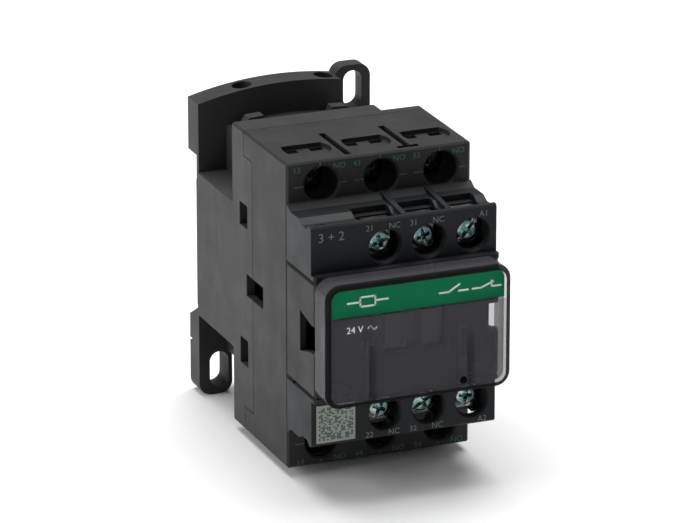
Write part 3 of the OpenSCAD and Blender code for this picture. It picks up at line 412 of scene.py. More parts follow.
# %% Make the metal finishes
def metallic(name, colour, tint, smooth, rough, stretch, line_depth=0.01, contrast=1.0):
    """A bare or plated metal; stretch packs its drawn lines, in waves per metre on each axis."""
    material, tree, shader = new_finish(name)
    drawn = use(tree, lines, Stretch=stretch, Contrast=contrast)
    rub = use(tree, edge_wear_and_highlight, Radius=METAL_EDGE)
    film = ramp(tree, noise(tree, 350.0, 4.0, 0.6), 0.42, 0.62)
    plated = blend_colours(tree, film, (*colour, 1), (*tint, 1))
    streaked = blend_colours(tree, times(tree, drawn["Mask"], 0.25), plated,
                             (*[c * 0.6 for c in colour], 1))
    toned = use(tree, drift, Colour=streaked, Amount=0.15, Scale=220.0)["Colour"]
    bump = put(tree, "ShaderNodeBump", {"Height": drawn["Height"], "Distance": line_depth * MM,
                                        "Strength": 1.0, "Normal": rub["Normal"]}).outputs["Normal"]
    feed(tree, shader, Base_Color=toned, Normal=bump, Metallic=1.0,
         Roughness=use(tree, handling, Smooth=smooth, Rough=rough, Scale=400.0)["Roughness"])
    return material


ACROSS_X, ACROSS_Z = (9000.0, 500.0, 500.0), (500.0, 500.0, 9000.0)
# The contact plates are tinned, but their finish is darkened as a painted shade for the deep wire pockets they
# sit in.
pocket_shaded_plate = metallic("tinned_plate_painted_shade", (0.13, 0.13, 0.13), (0.09, 0.09, 0.085), 0.34, 0.5, ACROSS_X)
bridge_brass = metallic("bridge_brass", (0.68, 0.49, 0.24), (0.60, 0.38, 0.17), 0.24, 0.38, ACROSS_X)
zinc_clamp = metallic("plated_washer", (0.60, 0.60, 0.56), (0.50, 0.50, 0.40), 0.28, 0.42, ACROSS_X)
tinned = metallic("tinned_strip", (0.30, 0.30, 0.30), (0.22, 0.22, 0.22), 0.28, 0.44, ACROSS_X)
spring_wire = metallic("spring_wire", (0.52, 0.52, 0.54), (0.42, 0.42, 0.46), 0.22, 0.34,
                       (800.0, 6000.0, 800.0))
core_steel = metallic("stacked_laminations", (0.40, 0.41, 0.42), (0.30, 0.28, 0.26), 0.34, 0.52, ACROSS_Z,
                      0.03, 2.0)
ring_copper = metallic("ring_copper", (0.72, 0.36, 0.22), (0.55, 0.26, 0.15), 0.3, 0.44, ACROSS_Z)
enamel = metallic("enamelled_copper", (0.50, 0.19, 0.07), (0.40, 0.12, 0.04), 0.2, 0.32,
                  (900.0, 900.0, 900.0))
METAL_OF_NODES = {"fixed_core": core_steel, "armature": core_steel, "terminal_": tinned,
                  "shading_rings": ring_copper, "contact_": pocket_shaded_plate, "bridge_": bridge_brass,
                  "clamp_": zinc_clamp}
for node_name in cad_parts:
    if "spring" in node_name:
        finish[node_name] = spring_wire
    for start, metal in METAL_OF_NODES.items():
        if node_name.startswith(start):
            finish[node_name] = metal
print("finishes so far are for", len(finish), "nodes")

# %% [markdown]
# ## Screw plating
# A terminal screw is zinc plated and clear passivated, which leaves a thin film of blue, green and straw
# over bright metal. Near-black patches in the film are painted dark reflections, the head's rim is painted
# lighter than its centre as painted light on the rim and painted shade in the recess, and its edges carry a
# painted highlight. The film follows the turned head, so it needs the screw's own axis. The screw meshes
# made below carry their own coordinates in an attribute called own_place, and the finish reads its rings
# from that.

# %% Make the screw finish
def ring_distance(tree):
    """How far a point is from its screw's axis, in metres."""
    own = put(tree, "ShaderNodeAttribute", attribute_name="own_place").outputs["Vector"]
    flat = made(tree, "ShaderNodeVectorMath", {0: own, 1: (1.0, 1.0, 0.0)}, operation="MULTIPLY")
    return put(tree, "ShaderNodeVectorMath", {0: flat}, operation="LENGTH").outputs["Value"]


screw_plating, tree, shader = new_finish("passivated_zinc")
radius_out = ring_distance(tree)
turned = math_of(tree, "SINE", times(tree, radius_out, 45000.0))
film = put(tree, "ShaderNodeValToRGB", {"Fac": math_of(
    tree, "ADD", noise(tree, 700.0), times(tree, turned, 0.03))})
# The near-black stop is a painted dark reflection; the blue, green and straw stops are the film.
film_and_reflection_colours = [(0.32, (0.05, 0.06, 0.08)), (0.44, (0.10, 0.20, 0.26)), (0.52, (0.07, 0.24, 0.15)),
                (0.58, (0.34, 0.34, 0.30)), (0.70, (0.60, 0.61, 0.60))]
while len(film.color_ramp.elements) < len(film_and_reflection_colours):
    film.color_ramp.elements.new(0.5)
for stop, (at, colour) in zip(film.color_ramp.elements, film_and_reflection_colours):
    stop.position = at
    stop.color = (*colour, 1)
rub = use(tree, edge_wear_and_highlight, Radius=SCREW_EDGE)
screw_bump = put(tree, "ShaderNodeBump", {"Height": turned, "Distance": 0.004 * MM, "Strength": 0.6,
                                          "Normal": rub["Normal"]}).outputs["Normal"]
# The rim round the recess is painted lighter than the centre: painted light on the rim, painted shade in the
# recess.
rim_light_share = ramp(tree, radius_out, 1.7 * MM, 2.3 * MM)
rim_lit_film = blend_colours(tree, times(tree, rim_light_share, 0.55), film.outputs["Color"], (0.50, 0.50, 0.48, 1))
# Edges are painted near white: a painted highlight.
plating_with_painted_highlight = blend_colours(tree, rub["Mask"], rim_lit_film, (0.86, 0.87, 0.85, 1))
feed(tree, shader, Base_Color=plating_with_painted_highlight, Metallic=1.0, Normal=screw_bump,
     Roughness=use(tree, handling, Smooth=0.14, Rough=0.3, Scale=500.0)["Roughness"])
print("film colours:", len(film.color_ramp.elements))

# %% [markdown]
# ## Clear cover, band and inks
# The cover is thin smoked polycarbonate. A thin wall hardly bends the light, so it is drawn with Alpha,
# which also lets the lamps shine through to the band behind it. Seen flat on it is nearly clear, and towards
# its edges it darkens. Round the rim, where the light has to pass along the wall, and along the two ribs, the
# cover is painted darker and more opaque as a painted shade. The green band is a film under it. The inks are
# matt, with fine gaps where pad printing misses the grain. The label is an anodised looking foil.

# %% Make the cover, band and ink finishes
cover_plastic, tree, shader = new_finish("smoked_clear")
# This attribute is 1 on the rim and a half on the ribs, and marks where a painted shade stands in for the light
# that the wall bends away.
painted_shade_share = put(tree, "ShaderNodeAttribute", attribute_name="painted_shade_share").outputs["Fac"]
smoke = use(tree, drift, Colour=(0.092, 0.090, 0.103, 1), Amount=0.12, Scale=50.0)["Colour"]
place = put(tree, "ShaderNodeSeparateXYZ", {"Vector": own_point(tree)}).outputs
beside = [math_of(tree, "ABSOLUTE", math_of(tree, "SUBTRACT", place["X"], rib)) for rib in RIB_PLACES]
rib_shade = times(tree, ramp(tree, math_of(tree, "MINIMUM", *beside), RIB_HALF * 1.4, RIB_HALF * 0.7),
                    ramp(tree, place["Z"], RIB_TOP + 0.2 * MM, RIB_TOP - 0.2 * MM))
# The ribs are painted darker: a painted shade.
rib_shaded_smoke = blend_colours(tree, times(tree, rib_shade, 0.55), smoke, (0.012, 0.012, 0.014, 1))
# The rim and ribs are painted near black: a painted shade.
rim_painted_shade = blend_colours(tree, ramp(tree, painted_shade_share, 0.1, 0.6), rib_shaded_smoke, (0.004, 0.004, 0.004, 1))
slant = put(tree, "ShaderNodeLayerWeight", {"Blend": 0.5}).outputs["Facing"]
body_alpha = ramp(tree, slant, 0.1, 0.85, 0.36, 0.58)
over_band = times(tree, math_of(tree, "GREATER_THAN", place["Z"], low("cover_band").z),
                    math_of(tree, "LESS_THAN", place["Y"], low("cover_band").y))
window_alpha = times(tree, body_alpha, ramp(tree, over_band, 0.0, 1.0, 1.0, 0.08))
# The rim and ribs are made opaque, which is part of the same painted shade.
painted_rim_shade_alpha = ramp(tree, painted_shade_share, 0.03, 0.35, 0.0, 0.96)
wiped = use(tree, handling, Smooth=0.06, Rough=0.16, Scale=70.0)["Roughness"]
rim_rough = ramp(tree, painted_shade_share, 0.1, 0.5, 0.0, 0.75)
feed(tree, shader, Base_Color=rim_painted_shade, Roughness=math_of(tree, "MAXIMUM", wiped, rim_rough),
     Alpha=math_of(tree, "MAXIMUM", window_alpha, painted_rim_shade_alpha), IOR=1.45, Specular_IOR_Level=0.12)


def film_or_ink(name, colour, worn, smooth, rough, misses=0.35, shine=0.15):
    """A printed film or ink: misses is how much of the worn colour its fine gaps show."""
    material, tree, shader = new_finish(name)
    skin = use(tree, grain, Scale=3800.0, Pitting=0.3)
    base = use(tree, drift, Colour=(*colour, 1), Amount=0.10, Scale=160.0)["Colour"]
    printed = blend_colours(tree, times(tree, skin["Speckle"], misses), base, (*worn, 1))
    bump = put(tree, "ShaderNodeBump", {"Height": skin["Height"], "Distance": INK_GRAIN}).outputs["Normal"]
    feed(tree, shader, Base_Color=printed, Normal=bump, Specular_IOR_Level=shine,
         Roughness=use(tree, handling, Smooth=smooth, Rough=rough)["Roughness"])
    return material


green_film = film_or_ink("green_film", (0.001, 0.20, 0.078), (0.001, 0.17, 0.066), 0.4, 0.5, 0.3, shine=0.03)
label_foil = film_or_ink("label_foil", (0.30, 0.34, 0.30), (0.24, 0.28, 0.25), 0.38, 0.5, 0.5)
label_black = film_or_ink("label_black", (0.03, 0.035, 0.035), (0.07, 0.08, 0.08), 0.4, 0.55)
teal_ink = film_or_ink("teal_ink", (0.06, 0.14, 0.14), (0.04, 0.08, 0.08), 0.45, 0.6)
grey_ink = film_or_ink("grey_ink", (0.17, 0.18, 0.18), (0.09, 0.095, 0.095), 0.45, 0.6)
white_ink = film_or_ink("white_ink", (0.86, 0.88, 0.86), (0.75, 0.78, 0.76), 0.4, 0.5, 0.2)
finish["cover_band"] = green_film
finish["data_label"] = label_foil
print("inks ready")

# %% [markdown]
# ## Put the finishes on the frame's nodes
# A node from the frame keeps its mesh, and only its material slots are filled.

# %% Assign the finishes
for node_name, material in finish.items():
    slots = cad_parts[node_name].data.materials
    slots.clear()
    slots.append(material)
print("finished nodes:", len(finish), "of", len(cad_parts))

# %% [markdown]
# ## Helpers for new pieces
# Every new piece ends as a plain mesh with its place in its points, riding on a body of the frame. Growing
# a piece with Geometry Nodes means three steps: put the tree on a host object, set its inputs by their
# socket identifiers, and take the evaluated result as a mesh.

# %% Helpers to make, grow and register pieces
def soften(mesh, angle=35):
    """Smooth shading, kept sharp at edges steeper than the angle in degrees."""
    mesh.polygons.foreach_set("use_smooth", [True] * len(mesh.polygons))
    mesh.set_sharp_from_angle(angle=math.radians(angle))
    return mesh


def flattened(host):
    """The host's evaluated shape as a new mesh; the host goes away."""
    graph = bpy.context.evaluated_depsgraph_get()
    mesh = bpy.data.meshes.new_from_object(host.evaluated_get(graph))
    bpy.data.objects.remove(host)
    return mesh


def hosted(name, data):
    host = bpy.data.objects.new(name, data)
    scene.collection.objects.link(host)
    return host


def grown(tree, values, mesh=None):
    """The mesh that a Geometry Nodes tree makes with these named inputs, from a mesh if it takes one."""
    host = hosted(tree.name, mesh or bpy.data.meshes.new(tree.name))
    modifier = host.modifiers.new(tree.name, "NODES")
    modifier.node_group = tree
    identifiers = {s.name: s.identifier for s in tree.interface.items_tree if s.in_out == "INPUT"}
    for label, value in values.items():
        modifier[identifiers[label]] = value
    return flattened(host)


def joined(meshes):
    """One mesh of several, which keep their materials."""
    work = bmesh.new()
    materials = []
    for mesh in meshes:
        first_face = len(work.faces)
        work.from_mesh(mesh)
        work.faces.ensure_lookup_table()
        for face in work.faces[first_face:]:
            own = mesh.materials[face.material_index] if mesh.materials else None
            if own not in materials:
                materials.append(own)
            face.material_index = materials.index(own)
    result = bpy.data.meshes.new("joined")
    work.to_mesh(result)
    work.free()
    for material in filter(None, materials):
        result.materials.append(material)
    return result


def register(name, mesh, body, material=None, stands_for=()):
    """Makes the mesh a piece that rides on a body, with the material if one is given, and hides the nodes it
    stands for.
    """
    if material:
        mesh.materials.clear()
        mesh.materials.append(material)
    piece = hosted(name, mesh)
    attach(piece, body)
    if stands_for:
        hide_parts(*stands_for)
    mesh.calc_loop_triangles()
    print(name, "rides on", body, "with", len(mesh.loop_triangles), "triangles")
    return piece


def box_mesh(lo, hi):
    """A closed box between two corners."""
    points = [(x, y, z) for x in (lo[0], hi[0]) for y in (lo[1], hi[1]) for z in (lo[2], hi[2])]
    faces = [(0, 1, 3, 2), (4, 6, 7, 5), (0, 4, 5, 1), (2, 3, 7, 6), (0, 2, 6, 4), (1, 5, 7, 3)]
    return simple_mesh("box", points, faces)

# %% [markdown]
# ## The clear cover
# The real cover is a thin moulded tray with round corners and a soft front rim, and that rim is what bends
# the light into a dark line. A box with rounded corners would do from afar, but the wall has to be a real
# wall for the light to pass it twice. So the tray is lofted from rings: round the outside, over the rim,
# and back inside. The two ribs, the hooks and the seal hole are then joined to it or cut from it with exact
# Booleans.

# %% Loft the tray
COVER_WALL, COVER_CORNER, COVER_RIM, COVER_FILLET = 1.2 * MM, 3.5 * MM, 0.9 * MM, 0.4 * MM
CORNER_STEPS, RIM_STEPS, ROUND_SIDES = 8, 5, 32


def rounded_outline(half_x, z0, z1, corner):
    """Points round a rectangle with round corners, as (x, z), anticlockwise seen from -Y."""
    points = []
    centres = [(half_x - corner, z0 + corner, -90), (half_x - corner, z1 - corner, 0),
               (-half_x + corner, z1 - corner, 90), (-half_x + corner, z0 + corner, 180)]
    for x, z, start in centres:
        for step in range(CORNER_STEPS + 1):
            angle = math.radians(start + 90 * step / CORNER_STEPS)
            points.append((x + corner * math.cos(angle), z + corner * math.sin(angle)))
    return points


def lofted(rings):
    """A closed skin over rings of points, with a flat cap on the first and the last."""
    work = bmesh.new()
    rows = [[work.verts.new(p) for p in ring] for ring in rings]
    for row, following in zip(rows, rows[1:]):
        for k in range(len(row)):
            work.faces.new((row[k - 1], row[k], following[k], following[k - 1]))
    work.faces.new(rows[0])
    work.faces.new(reversed(rows[-1]))
    bmesh.ops.recalc_face_normals(work, faces=work.faces)
    mesh = bpy.data.meshes.new("loft")
    work.to_mesh(mesh)
    work.free()
    return mesh


def cover_ring(y, inset):
    half_x = cover_high.x - inset
    outline = rounded_outline(half_x, cover_low.z + inset, cover_high.z - inset,
                              max(COVER_CORNER - inset, 0.4 * MM))
    return [(x, y, z) for x, z in outline]


quarter = [math.radians(90 * k / RIM_STEPS) for k in range(RIM_STEPS + 1)]
outside = [(cover_low.y + COVER_RIM * (1 - math.cos(a)), COVER_RIM * (1 - math.sin(a))) for a in quarter]
outside.append((cover_low.y + COVER_RIM + 0.25 * MM, 0.0))
outside[:0] = [(cover_low.y, COVER_WALL + 0.1 * MM), (cover_low.y, COVER_WALL - 0.15 * MM)]
inside_y = cover_low.y + COVER_WALL
inside = [(inside_y + COVER_FILLET * (1 - math.cos(a)), COVER_WALL + COVER_FILLET * (1 - math.sin(a)))
          for a in reversed(quarter)]
cover_back = low("centre_frame").y - 0.05 * MM
rim_rings = [*outside, (cover_back, 0.0), (cover_back, COVER_WALL), *inside]
tray = lofted([cover_ring(y, inset) for y, inset in rim_rings])
print("cover depth in mm:", round((cover_back - cover_low.y) / MM, 2))

# %% [markdown]
# The ribs stand on the front wall, in the lower half. Each Boolean is an ordinary modifier with the exact
# solver, and the result is taken as a mesh, so nothing live is left on the piece.

# %% Add the ribs and hooks, cut the seal hole, and mark where the cover's shade is painted
def boolean(mesh, tool, operation):
    host, cutter = hosted("base", mesh), hosted("tool", tool)
    modifier = host.modifiers.new("join", "BOOLEAN")
    modifier.operation = operation
    modifier.solver = "EXACT"
    modifier.object = cutter
    result = flattened(host)
    bpy.data.objects.remove(cutter)
    return result


def round_bar(x, z, radius, y0, y1):
    """A closed round bar along Y."""
    angles = [2 * math.pi * k / ROUND_SIDES for k in range(ROUND_SIDES)]
    ring = [(x + radius * math.cos(a), z + radius * math.sin(a)) for a in angles]
    return lofted([[(px, y0, pz) for px, pz in ring], [(px, y1, pz) for px, pz in ring]])


HOOK_PLACES, HOOK_HALF, HOOK_RISE = (-17 * MM, 17 * MM), 1.2 * MM, 1.8 * MM
SEAL_PLACE, SEAL_RADIUS, SEAL_SHADE_WALL = (10.9 * MM, -11.5 * MM), 1.35 * MM, 0.4 * MM
RIM_SHADE_SHARE, RIB_SHADE_SHARE = 1.0, 0.5
rib_start = inside_y - 0.1 * MM
for x in RIB_PLACES:
    tray = boolean(tray, box_mesh((x - RIB_HALF, rib_start, cover_low.z + COVER_WALL - 0.1 * MM),
                                  (x + RIB_HALF, cover_back - 0.55 * MM, RIB_TOP)), "UNION")
hook_base = low("centre_frame").z + HOOK_RISE
for x in HOOK_PLACES:
    tray = boolean(tray, box_mesh((x - HOOK_HALF, rib_start, hook_base),
                                  (x + HOOK_HALF, cover_high.y, hook_base + HOOK_HALF)), "UNION")
seal_way = (cover_low.y - 1 * MM, inside_y + 1 * MM)
seal_hole = round_bar(*SEAL_PLACE, SEAL_RADIUS, *seal_way)
tray = boolean(tray, seal_hole, "DIFFERENCE")
# Store where the cover's finish paints shade: 1 on the front rim, a half on the ribs.
painted_shade_values = tray.attributes.new("painted_shade_share", "FLOAT", "POINT")
for point, stored in zip(tray.vertices, painted_shade_values.data):
    x, y, z = point.co
    inset = min(cover_high.x - abs(x), z - cover_low.z, cover_high.z - z)
    corner_x = cover_high.x - COVER_CORNER - abs(x)
    corner_z = min(z - cover_low.z, cover_high.z - z) - COVER_CORNER
    if corner_x < 0 and corner_z < 0:
        inset = COVER_CORNER - math.hypot(corner_x, corner_z)
    if y < cover_low.y + COVER_RIM * 1.01:
        stored.value = RIM_SHADE_SHARE if inset < COVER_WALL - 0.1 * MM else 0.0
    elif y > inside_y + 0.3 * MM and min(abs(x - rib) for rib in RIB_PLACES) < RIB_HALF * 1.05:
        stored.value = RIB_SHADE_SHARE
# A black tube lines the seal hole: a painted shade for the dark ring that the hole's wall makes in the light.
seal_hole_shade = boolean(round_bar(*SEAL_PLACE, SEAL_RADIUS - 0.01 * MM, cover_low.y + 0.15 * MM, inside_y),
                      round_bar(*SEAL_PLACE, SEAL_RADIUS - SEAL_SHADE_WALL, *seal_way), "DIFFERENCE")
register("seal_hole_painted_shade", soften(seal_hole_shade), "front_cover", finish["coil_former"])
register("clear_cover", soften(tray, 30), "front_cover", cover_plastic, ["front_cover"])

# %% [markdown]
# ## Terminal screws
# Twelve screws in two sizes hold the wires. A screw head is turned, knurled round its rim and stamped with
# a combined slot and cross. The head and shank are lofted from rings and the recess is cut with Booleans.
# What repeats is grown by one Geometry Nodes tree: the thread is a spiral curve with a small profile, and
# the knurl is a ring of short pins.

# %% Build the tree for thread and knurl
def growth_tree(name, takes):
    """An empty Geometry Nodes tree with named inputs and a geometry output."""
    tree = bpy.data.node_groups.new(name, "GeometryNodeTree")
    tree.is_modifier = True
    for label, kind in takes.items():
        tree.interface.new_socket(label, in_out="INPUT", socket_type=kind)
    tree.interface.new_socket("Geometry", in_out="OUTPUT", socket_type="NodeSocketGeometry")
    return tree, tree.nodes.new("NodeGroupInput").outputs


def close_growth(tree, geometry, material):
    """Ends a tree in Realize Instances and Set Material."""
    real = made(tree, "GeometryNodeRealizeInstances", {"Geometry": geometry})
    dressed = made(tree, "GeometryNodeSetMaterial", {"Geometry": real, "Material": material})
    put(tree, "NodeGroupOutput", {"Geometry": dressed})
    print("tree", tree.name, "has", len(tree.nodes), "nodes")


def swept(tree, curve, radius, sides, caps=False):
    """A round wire of this radius along a curve."""
    profile = made(tree, "GeometryNodeCurvePrimitiveCircle", {"Resolution": sides, "Radius": radius})
    return made(tree, "GeometryNodeCurveToMesh", {
        "Curve": curve, "Profile Curve": profile, "Fill Caps": caps})


def repeated(tree, points, instance):
    return made(tree, "GeometryNodeInstanceOnPoints", {"Points": points, "Instance": instance})


def in_a_row(tree, given, instance):
    """The instance along a line that the tree's Count, Start and Step inputs set."""
    row = made(tree, "GeometryNodeMeshLine", {
        "Count": given["Count"], "Start Location": given["Start"], "Offset": given["Step"]})
    return repeated(tree, row, instance)


def moved(tree, geometry, **values):
    return made(tree, "GeometryNodeTransform", {"Geometry": geometry, **values})


def together(tree, *parts):
    joint = put(tree, "GeometryNodeJoinGeometry")
    for part in parts:
        tree.links.new(part, joint.inputs[0])
    return joint.outputs[0]


INT, GEOMETRY, MATERIAL = "NodeSocketInt", "NodeSocketGeometry", "NodeSocketMaterial"
thread_tree, given = growth_tree("thread_and_knurl", {
    "Geometry": GEOMETRY, "Thread Radius": FLOAT, "Thread Depth": FLOAT, "Turns": FLOAT, "Thread Length": FLOAT,
    "Thread Start": FLOAT, "Knurl Radius": FLOAT, "Knurls": INT, "Pin Radius": FLOAT, "Pin Length": FLOAT,
    "Pin Height": FLOAT, "Material": MATERIAL})
helix = made(thread_tree, "GeometryNodeCurveSpiral", {
    "Resolution": 20, "Rotations": given["Turns"], "Start Radius": given["Thread Radius"],
    "End Radius": given["Thread Radius"], "Height": given["Thread Length"]})
ridge = swept(thread_tree, helix, given["Thread Depth"], 4, True)
ridge_drop = made(thread_tree, "ShaderNodeCombineXYZ", {"Z": given["Thread Start"]})
placed_ridge = moved(thread_tree, ridge, Translation=ridge_drop)
rim = made(thread_tree, "GeometryNodeMeshCircle", {
    "Vertices": given["Knurls"], "Radius": given["Knurl Radius"]})
pin = made(thread_tree, "GeometryNodeMeshCylinder", {
    "Vertices": 6, "Radius": given["Pin Radius"], "Depth": given["Pin Length"]})
pin_rise = made(thread_tree, "ShaderNodeCombineXYZ", {"Z": given["Pin Height"]})
placed_pins = moved(thread_tree, repeated(thread_tree, rim, pin), Translation=pin_rise)
screw_parts = together(thread_tree, given["Geometry"], placed_ridge, placed_pins)
close_growth(thread_tree, screw_parts, given["Material"])

# %% [markdown]
# Each size of screw is made once, standing on its own axis: Z points out of the head and the seat is at
# zero. The points are stored as own_place before the screw is turned and set in its hole, so its plating
# turns with it.

# %% Make the two screw sizes
SHANK_RADIUS, THREAD_DEPTH, PITCH = 1.48 * MM, 0.2 * MM, 0.6 * MM
SLOT_HALF, SLOT_DEPTH = 0.45 * MM, 0.8 * MM
CROSS_LENGTH, CROSS_HALF, CROSS_DEPTH = 1.9 * MM, 0.5 * MM, 1.5 * MM


def turned_shape(profile, sides):
    """A closed turned shape from (radius, height) pairs, from top to bottom."""
    angles = [2 * math.pi * k / sides for k in range(sides)]
    return lofted([[(r * math.cos(a), r * math.sin(a), z) for a in angles] for r, z in profile])


def recess_arm(length, half, depth, top, taper):
    """A stamped arm: a box along X that gets shorter and thinner as it goes down."""
    points = []
    for z, share in ((top - depth, taper), (top + 0.3 * MM, 1.0)):
        points += [(sx * length * share, sy * half * max(share, 0.8), z)
                   for sx, sy in ((-1, -1), (1, -1), (1, 1), (-1, 1))]
    return simple_mesh("arm", points, [(3, 2, 1, 0), (4, 5, 6, 7), (0, 1, 5, 4), (1, 2, 6, 5), (2, 3, 7, 6),
                                       (3, 0, 4, 7)])


def screw_shape(head_radius, head_height, length):
    core = head_radius - 0.12 * MM
    top = head_height
    domed_top = [(0.6 * MM, top), (core - 1.0 * MM, top - 0.03 * MM), (core - 0.45 * MM, top - 0.12 * MM),
                 (core - 0.12 * MM, top - 0.34 * MM), (core, top - 0.65 * MM)]
    shape = turned_shape([*domed_top, (core, 0.12 * MM), (core - 0.12 * MM, 0.0), (SHANK_RADIUS, 0.0),
                          (SHANK_RADIUS, 0.5 * MM - length), (SHANK_RADIUS - 0.5 * MM, -length)], 48)
    for quarter_turn in (0, 1):
        arm = recess_arm(CROSS_LENGTH, CROSS_HALF, CROSS_DEPTH, top, 0.45)
        arm.transform(Matrix.Rotation(quarter_turn * math.pi / 2, 4, "Z"))
        shape = boolean(shape, arm, "DIFFERENCE")
    slot = recess_arm(head_radius + 1 * MM, SLOT_HALF, SLOT_DEPTH, top, 1.0)
    shape = boolean(shape, slot, "DIFFERENCE")
    thread_length = length - 1.6 * MM
    return soften(grown(thread_tree, {
        "Thread Radius": SHANK_RADIUS + 0.05 * MM, "Thread Depth": THREAD_DEPTH, "Turns": thread_length / PITCH,
        "Thread Length": thread_length, "Thread Start": 0.6 * MM - length, "Knurl Radius": core - 0.02 * MM,
        "Knurls": 40, "Pin Radius": 0.14 * MM, "Pin Length": head_height - 1.1 * MM,
        "Pin Height": (head_height - 0.8 * MM) / 2, "Material": screw_plating}, shape), 40)


HEAD_HEIGHT = {"power": 2.5 * MM, "front": 2.2 * MM}
sample = {"power": "screw_13", "front": "screw_21"}
screw_meshes = {}
for size, node_name in sample.items():
    size_box = high(node_name) - low(node_name)
    screw_meshes[size] = screw_shape(size_box.x / 2, HEAD_HEIGHT[size], size_box.y - HEAD_HEIGHT[size])
    print(size, "screw, head in mm:", round(size_box.x / MM, 2), "length:", round(size_box.y / MM, 2))

# %% [markdown]
# Every screw stopped at its own angle when it was tightened, so each gets its own turn. A screw rides on
# its own body, which turns and backs out of the casing.

# %% Set the twelve screws
SCREW_TURNS = {"13": 28, "43": 62, "53": 12, "14": 75, "44": 40, "54": 100,
               "21": 20, "31": 110, "a1": 50, "22": 65, "32": 30, "a2": 80}
for name, turn in SCREW_TURNS.items():
    size = "power" if name in POWER_UP + POWER_LOW else "front"
    node_name = "screw_" + name
    mesh = screw_meshes[size].copy()
    place = mesh.attributes.new("own_place", "FLOAT_VECTOR", "POINT")
    for point, stored in zip(mesh.vertices, place.data):
        stored.vector = point.co
    centre = middle(node_name)
    seat = Vector((centre.x, low(node_name).y + HEAD_HEIGHT[size], centre.z))
    mesh.transform(Matrix.Translation(seat) @ Matrix.Rotation(math.pi / 2, 4, "X")
                   @ Matrix.Rotation(math.radians(turn), 4, "Z"))
    register("terminal_" + node_name, mesh, node_name, None, [node_name])

# %% [markdown]
# ## The wound coil
# Inside, the coil is enamelled wire laid in rows round the former. A solid block would hide that, so the
# block stays only as a core, and one layer of real turns is laid on it. The tree draws one rounded turn,
# thickens it, and repeats it along a line.

# %% Build the tree for the turns
turn_tree, given = growth_tree("wound_turns", {
    "Geometry": GEOMETRY, "Width": FLOAT, "Height": FLOAT, "Corner": FLOAT, "Wire Radius": FLOAT, "Count": INT,
    "Start": VECTOR, "Step": VECTOR, "Material": MATERIAL})
one_turn = made(turn_tree, "GeometryNodeCurvePrimitiveQuadrilateral", {
    "Width": given["Width"], "Height": given["Height"]})
soft_turn = made(turn_tree, "GeometryNodeFilletCurve", {"Curve": one_turn, "Radius": given["Corner"], "Count": 5},
                mode="POLY")
wire_turn = swept(turn_tree, soft_turn, given["Wire Radius"], 8)
upright_turn = moved(turn_tree, wire_turn, Rotation=(math.pi / 2, 0.0, 0.0))
laid = in_a_row(turn_tree, given, upright_turn)
close_growth(turn_tree, together(turn_tree, given["Geometry"], laid), given["Material"])

# %% Wind the coil
WIRE, FORMER_HALF_X, FORMER_HALF_Z = 0.44 * MM, 6.4 * MM, 7.4 * MM
coil_low, coil_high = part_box("coil_winding")
turns = int((coil_high.y - coil_low.y) / WIRE) - 1
coil_core = lofted([[(x, y, z) for x, z in rounded_outline(coil_high.x - inset, coil_low.z + inset,
                                                           coil_high.z - inset, 2.6 * MM)]
                    for y, inset in ((coil_low.y, WIRE * 0.8), (coil_high.y, WIRE * 0.8))])
former_way = box_mesh((-FORMER_HALF_X, coil_low.y - 1 * MM, -FORMER_HALF_Z),
                      (FORMER_HALF_X, coil_high.y + 1 * MM, FORMER_HALF_Z))
coil_core = boolean(coil_core, former_way, "DIFFERENCE")
coil_mesh = grown(turn_tree, {
    "Width": coil_high.x - coil_low.x - WIRE, "Height": coil_high.z - coil_low.z - WIRE, "Corner": 2.8 * MM,
    "Wire Radius": WIRE / 2, "Count": turns, "Start": (0.0, coil_low.y + WIRE * 0.75, middle("coil_winding").z),
    "Step": (0.0, WIRE, 0.0), "Material": enamel}, coil_core)
register("coil_turns", soften(coil_mesh), "casing", None, ["coil_winding"])
print("turns in the outer layer:", turns)

# %% [markdown]
# ## Springs
# A coil spring is round wire wound as a true helix, with a closed ring of wire at each end to sit on. One
# tree winds it, and repeats it along a line where several equal springs stand in a row. The return springs,
# the springs of the normally open bridges and the clip's spring get shorter as their joint moves; here each
# of them is only given a mesh of its own.

# %% Build the tree for coil springs
spring_tree, given = growth_tree("coil_springs", {
    "Radius": FLOAT, "Wire Radius": FLOAT, "Turns": FLOAT, "Length": FLOAT, "Tilt": VECTOR, "Count": INT,
    "Start": VECTOR, "Step": VECTOR, "Material": MATERIAL})
spring_helix = made(spring_tree, "GeometryNodeCurveSpiral", {
    "Resolution": 28, "Rotations": given["Turns"], "Start Radius": given["Radius"],
    "End Radius": given["Radius"], "Height": given["Length"]})
coiled_wire = swept(spring_tree, spring_helix, given["Wire Radius"], 8, True)
end_curve = made(spring_tree, "GeometryNodeCurvePrimitiveCircle", {
    "Resolution": 28, "Radius": given["Radius"]})
end_step = made(spring_tree, "ShaderNodeCombineXYZ", {"Z": given["Length"]})
both_ends = made(spring_tree, "GeometryNodeMeshLine", {"Count": 2, "Offset": end_step})
end_rings = repeated(spring_tree, both_ends, swept(spring_tree, end_curve, given["Wire Radius"], 8))
tilted_spring = moved(spring_tree, together(spring_tree, coiled_wire, end_rings), Rotation=given["Tilt"])
close_growth(spring_tree, in_a_row(spring_tree, given, tilted_spring), given["Material"])

# %% Wind the springs
SPRING_WIRE, SPRING_SPARE = 0.5 * MM, 0.04 * MM
X_AXIS, Y_AXIS, Z_AXIS = range(3)


